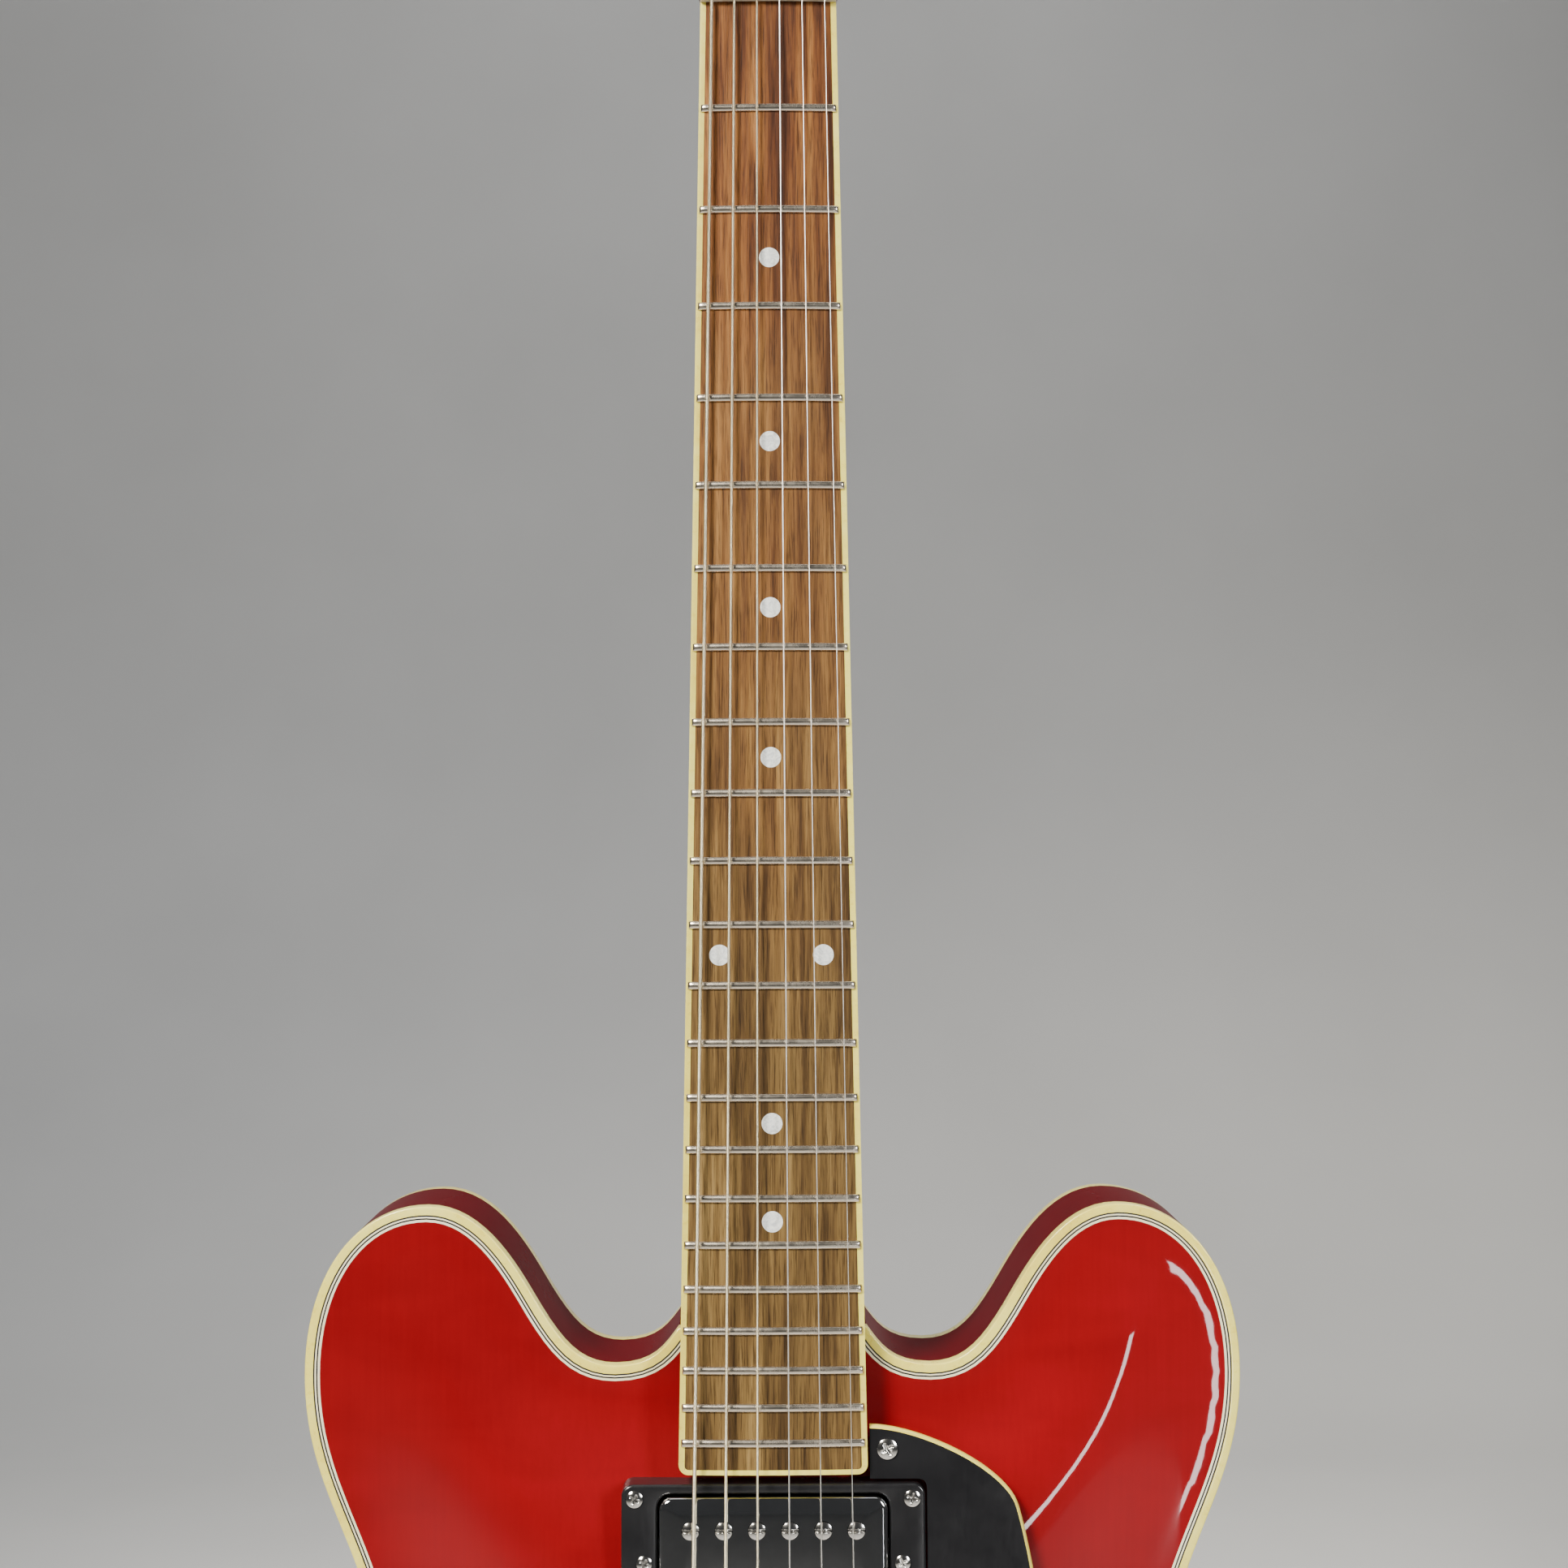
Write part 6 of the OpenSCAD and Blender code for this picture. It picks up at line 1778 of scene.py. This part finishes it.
def make_key(i):
    """A tuner key: its worm, shaft and collar, and a pillow-shaped button."""
    side, body = tuner_side(i), f"tuner_key_{i + 1}"
    place = tuner_frame(i) @ move(0, WORM_Y, -WORM_DROP)
    key = Shape(place)
    turns = WORM_L / WORM_PITCH
    angles = full_turn(WORM_STEPS)
    rings = []
    for t in np.linspace(0, 1, int(WORM_STEPS * turns) + 1):
        along, phase = WORM_L * (t - 0.5), 2 * math.pi * WORM_L * (t - 0.5) / WORM_PITCH
        rings.append(np.stack([np.full(WORM_STEPS, along),
                               WORM_WAVE * math.sin(phase) + WORM_R * np.cos(angles),
                               WORM_WAVE * math.cos(phase) + WORM_R * np.sin(angles)], axis=1))
    key.loft(rings)
    outward = turn(side * math.pi / 2, "Y")
    key.lathe([(0, -HOUSING_HALF), (1.9, -HOUSING_HALF), (2, -HOUSING_HALF + 0.1), (2, -WORM_L / 2 - 0.4),
               (1.3, -WORM_L / 2 - 0.3), (1.3, WORM_L / 2 + 0.3), (2, WORM_L / 2 + 0.4), (2, BUTTON_X - 6),
               (0, BUTTON_X - 6)], 40, place=outward)
    collar = [(2.0, 0.3), (3.0, 0.3), (3.2, 0.5), (3.2, 1.7), (3.0, 1.9), (2.0, 1.9)]
    spin(key, collar, 40, place=outward @ move(0, 0, HOUSING_HALF))
    stem = [(0, 0), (2.5, 0), (2.9, 0.4), (2.7, 1.8), (2.6, 3), (0, 3)]
    key.lathe(stem, 40, place=outward @ move(0, 0, BUTTON_X - BUTTON_HALF[0] - 1.6))
    build(key, f"key_worm_{i + 1}", body, "nickel", body=body, sharp=45)
    angles = full_turn(64)
    outline = np.stack([BUTTON_HALF[0] * squircle(np.cos(angles), BUTTON_POWER),
                        BUTTON_HALF[1] * squircle(np.sin(angles), BUTTON_POWER)], axis=1)
    button = Shape(place @ move(side * BUTTON_X, 0, 0))
    rows = []
    for t in np.linspace(-1, 1, 21):
        bulge = (1 - abs(t) ** 2.6) ** (1 / 2.6)
        rows.append((max(bulge, 0.30), BUTTON_T / 2 * math.copysign(abs(t) ** 0.8, t)))
    button.loft([at_depth(outline * (0.70 + 0.30 * s if s > 0.3 else 0.70 + 0.09), y) for s, y in rows])
    build(button, f"key_button_{i + 1}", body, "nickel", body=body, sharp=50)


# ---- Controls ----

KNOB_R = 12.7
KNOB_H = 14
KNOB_SHAFT_R = 3


def make_knob(i):
    place, body = control_frame(KNOB_AT[i]) @ LATHE_FRONT, f"knob_{i + 1}"
    skirt, top, bore = KNOB_R, KNOB_H, KNOB_SHAFT_R + 0.02
    outside = [(bore, 3.8), (9.4, 3.8), (10.2, 1.3), (skirt - 0.3, 1.3), (skirt, 1.55), (skirt, 2.6),
               (skirt - 0.4, 3.15), (skirt - 1.1, 3.75), (skirt - 1.35, 4.3), (skirt - 2.5, top - 1.7),
               (skirt - 2.9, top - 0.7), (skirt - 3.7, top - 0.1), (skirt - 4.4, top), (4, top - 0.12),
               (0, top - 0.15), (0, 12), (bore, 12)]
    cap = Shape(place)
    spin_closed(cap, outside, 96, grip)
    build(cap, f"control_knob_{i + 1}", body, "black_plastic", KNOB_BLACK, body=body, sharp=35)
    pointer = Shape(place)
    line = rounded_rect(0.7, 3.6, 0.3, steps=3)
    rings = [np.stack([line[:, 0] * k, line[:, 1] * k + KNOB_R - 5.6, np.full(len(line), h)], axis=1)
             for k, h in ((1, KNOB_H - 0.5), (1, KNOB_H - 0.02), (0.85, KNOB_H))]
    pointer.loft(rings)
    build(pointer, f"knob_line_{i + 1}", body, "black_plastic", CREAM, body=body)
    shaft = Shape(place)
    shaft.lathe([(0, 11.95), (2.8, 11.95), (2.95, 11.8), (2.95, -14), (0, -14)], 40)
    build(shaft, f"knob_shaft_{i + 1}", body, "black_plastic", NICKEL, body=body)


def grip(angles, r, h):
    """Shallow flutes round the side of a knob's crown."""
    if r < 9.5 or h < 4.2 or h > KNOB_H - 0.9:
        return 0 * angles
    return -0.16 * (0.5 + 0.5 * np.cos(36 * angles))


def spin_closed(shape, profile, steps, flute):
    """A turned solid whose profile touches the axis between its outer and inner runs."""
    angles = full_turn(steps)
    outer = [p for p in profile if p[0] > 0]
    axis = [k for k, p in enumerate(profile) if p[0] == 0]
    before = profile[:axis[0]]
    after = profile[axis[1] + 1:]
    points, rows = [], []
    for r, h in before + after:
        radii = r + flute(angles, r, h)
        rows.append(list(range(len(points), len(points) + steps)))
        points.extend(level_ring(radii, angles, h).tolist())
    top, bottom = len(points), len(points) + 1
    points.extend([[0, 0, profile[axis[0]][1]], [0, 0, profile[axis[1]][1]]])
    faces = []

    def join(a, b):
        faces.extend([a[k], a[(k + 1) % steps], b[(k + 1) % steps], b[k]] for k in range(steps))

    for k in range(len(before) - 1):
        join(rows[k], rows[k + 1])
    for k in range(len(before), len(outer) - 1):
        join(rows[k], rows[k + 1])
    join(rows[-1], rows[0])
    last, first = rows[len(before) - 1], rows[len(before)]
    faces.extend([last[k], last[(k + 1) % steps], top] for k in range(steps))
    faces.extend([first[(k + 1) % steps], first[k], bottom] for k in range(steps))
    shape.add(points, faces)


def make_toggle():
    place = control_frame(TOGGLE_AT) @ LATHE_FRONT
    base = Shape(place)
    spin(base, [(5.95, 0), (8.7, 0), (9, 0.3), (9, 1.2), (8.8, 1.45), (5.95, 1.45)], 72)
    spin(base, [(4.25, 1.5), (7.1, 1.5), (7.3, 1.7), (7.3, 2.2), (7.0, 2.5), (5.0, 2.5), (4.3, 2.1)], 96,
         flute=knurl(40, 0.22, 7.3))
    spin(base, [(3.05, 1.2), (4.25, 2.2), (4.9, 2.35), (5.9, 2.1), (5.9, -10), (3.05, -10)], 56)
    build(base, "switch_nut", "toggle_switch", "nickel", sharp=35)
    box = Shape(control_frame(TOGGLE_AT))
    box.frame(rounded_rect(16, 22, 1), rounded_rect(7.2, 14.2, 0.6), [(0, 9.7), (0, 33), (1, 33), (1, 9.7)])
    build(box, "switch_box", "toggle_switch", "nickel", STEEL, sharp=35)
    lever = Shape(place)
    lever.lathe([(0, 9), (1.25, 9), (1.25, -17), (0, -17)], 32)
    arc = [(2.5 * math.sin(a), -3 + 2.5 * math.cos(a)) for a in np.linspace(0.2, math.pi - 0.2, 13)]
    lever.lathe([(0, -0.5)] + arc + [(0, -5.5)], 40)
    build(lever, "switch_rod", "toggle_lever", "switch_tip", NICKEL, body="toggle_lever")
    tip = Shape(place)
    profile = [(0, 6), (1.6, 6), (2.0, 6.25), (2.35, 7.5), (2.8, 9), (3.55, 11.5), (4.1, 13.6), (4.28, 15.3),
               (4.2, 17), (3.85, 18.3), (3.2, 19.3), (2.3, 19.95), (1.3, 20.3), (0, 20.4)]
    tip.lathe(profile, 56)
    build(tip, "switch_cap", "toggle_lever", "switch_tip", body="toggle_lever")


def panel_nut(shape, bore):
    """The hexagon nut that holds a control against the top."""
    nut = [(bore, 0.02), (6.8, 0.02), (7.0, 0.3), (7.0, 2.0), (6.0, 2.4), (bore, 2.4)]
    spin(shape, nut, 60, flute=hexagon(7))


def make_pot_nuts():
    for i, at in enumerate(KNOB_AT):
        pot = Shape(control_frame(at) @ LATHE_FRONT)
        panel_nut(pot, 4.8)
        spin(pot, [(3.1, 2.9), (4.5, 2.9), (4.7, 2.7), (4.7, -7), (3.1, -7)], 48)
        spin(pot, [(3.1, -6.6), (11.4, -6.6), (12, -7.2), (12, -15.4), (11.4, -16), (3.1, -16)], 64)
        for x in (-4, 0, 4):
            tab = rounded_rect(1.6, 6.4, 0.5, steps=3) + [x, -14.8]
            pot.loft([at_depth(tab, y) for y in (7.4, 8.2)], place=LATHE_FRONT.inverted())
        build(pot, f"potentiometer_{i + 1}", "potentiometers", "nickel", STEEL, sharp=35)


def make_jack():
    jack = Shape(control_frame(JACK_AT) @ LATHE_FRONT)
    panel_nut(jack, 4.75)
    spin(jack, [(3.25, 2.3), (3.6, 2.6), (4.4, 2.6), (4.7, 2.35), (4.7, -12), (3.25, -12)], 56)
    spin(jack, [(4.75, -8.4), (9, -8.4), (9, -9.6), (4.75, -9.6)], 56)
    spin(jack, [(4.75, -9.65), (7, -9.65), (7, -12), (4.75, -12)], 56)
    build(jack, "jack_socket", "output_jack", "nickel", sharp=35)


def make_strap_buttons():
    profile = [(0, 0), (5.3, 0), (5.6, 0.25), (5.6, 1.2), (5.2, 1.9), (4.2, 2.5), (3.5, 3.2), (3.25, 4.4),
               (3.2, 6), (3.35, 7.3), (4.0, 8.4), (5.4, 9.2), (6.6, 9.5), (7, 9.9), (7, 10.9), (6.7, 11.4),
               (5.8, 11.85), (4.4, 11.9), (3.4, 11.5), (0, 11.5)]
    heel_z = 424
    heel_y = -RIM_FRONT + BACK_RISE * float(arch([(0, heel_z)])[0]) + 0.1
    for name, place in (("end", turn(math.pi, "X")), ("heel", move(0, heel_y, heel_z) @ LATHE_BACK)):
        button = Shape(place)
        button.lathe(profile, 72)
        button.lathe([(0, -22), (0.4, -22), (1.9, -18), (1.9, 0.1), (0, 0.1)], 24)
        polar_cap(button, 3.2, cross_head(3.2, 0.45), 48, 12, foot=0.2,
                  place=move(0, 0, 11.5) @ LATHE_BACK)
        build(button, f"strap_button_{name}", "strap_buttons", "nickel")


make_truss_cover()
make_housings()
make_bushings()
for number in range(6):
    make_post(number)
    make_key(number)
for number in range(4):
    make_knob(number)
make_pot_nuts()
make_toggle()
make_jack()
make_strap_buttons()


# ---- Stage ----

CAMERA_AT = (-0.35, -781.9, 592.2)
CAMERA_TURN = (-1.2177, -0.3324, -0.1953)
CAMERA_LENS = 56.396
SENSOR = 36
FLOOR_SIZE = 9.0
FLOOR_BACK = 2.6
WALL_R = 1.0


def make_camera():
    data = bpy.data.cameras.new("camera")
    data.sensor_width = SENSOR
    data.lens = CAMERA_LENS
    data.clip_start = 0.05
    data.clip_end = 50
    camera = add_object("camera", data)
    rx, ry, rz = (math.radians(a) for a in CAMERA_TURN)
    level = Matrix(((1, 0, 0), (0, 0, -1), (0, 1, 0)))
    rows = turn(rz, "Z").to_3x3() @ turn(ry, "Y").to_3x3() @ turn(rx, "X").to_3x3() @ level
    columns = Matrix((rows[0], -rows[1], -rows[2])).transposed()
    camera.matrix_world = Matrix.Translation(Vector(CAMERA_AT) * MM) @ columns.to_4x4()
    bpy.context.scene.camera = camera


def add_light(name, at, aim, size, power, color=(1, 1, 1), size_y=None, spread=180):
    data = bpy.data.lights.new(name, "AREA")
    data.shape = "RECTANGLE"
    data.size = size
    data.size_y = size_y or size
    data.energy = power
    data.color = color
    data.spread = math.radians(spread)
    light = add_object(name, data)
    light.location = at
    light.rotation_mode = "QUATERNION"
    light.rotation_quaternion = (Vector(aim) - Vector(at)).to_track_quat("-Z", "Y")


def make_stage():
    """A pale floor that curves up into a backdrop behind the guitar."""
    floor_z = CAD_BOX[0].z - 0.002
    steps = 16
    profile = [(-6.0, 0), (FLOOR_BACK - WALL_R, 0)]
    for k in range(1, steps + 1):
        a = math.pi / 2 * k / steps
        profile.append((FLOOR_BACK - WALL_R + WALL_R * math.sin(a), WALL_R * (1 - math.cos(a))))
    profile.append((FLOOR_BACK, 5.0))
    points = [(side * FLOOR_SIZE / 2, y, floor_z + z) for side in (-1, 1) for y, z in profile]
    n = len(profile)
    faces = [(i, i + 1, n + i + 1, n + i) for i in range(n - 1)]
    mesh = bpy.data.meshes.new("studio_floor")
    mesh.from_pydata(points, [], faces)
    p = Paint("studio_floor", (0.74, 0.74, 0.73), 0.75)
    speck = p.noise(p.coords((3, 3, 3)), 1.0, 3)
    p.color(p.ramp(speck, [(0.3, (0.72, 0.72, 0.71)), (0.7, (0.77, 0.77, 0.76))]))
    mesh.materials.append(p.material)
    mesh.shade_smooth()
    add_object("studio_floor", mesh)


def make_world():
    world = bpy.data.worlds.new("studio")
    world.use_nodes = True
    world.node_tree.nodes["Background"].inputs["Color"].default_value = (0.80, 0.82, 0.85, 1)
    world.node_tree.nodes["Background"].inputs["Strength"].default_value = 0.06
    bpy.context.scene.world = world


make_camera()
make_stage()
make_world()
add_light("key", (-1.5, -2.0, 2.4), (0, 0, 0.50), 1.0, 17, (1.0, 0.95, 0.86), spread=46)
add_light("fill", (1.9, -1.9, 1.5), (0, 0, 0.50), 0.5, 5, (0.97, 0.98, 1.0), size_y=1.3, spread=46)
add_light("rim", (0.9, 1.3, 2.2), (0, 0, 0.45), 0.9, 8, (1.0, 0.97, 0.92), spread=80)
add_light("wall", (0.0, 0.6, 3.2), (0, 2.4, 0.7), 1.6, 15, spread=110)
add_light("streak", (0.44, -1.38, 0.13), (0.11, -0.03, 0.40), 0.035, 0.8, size_y=0.36)
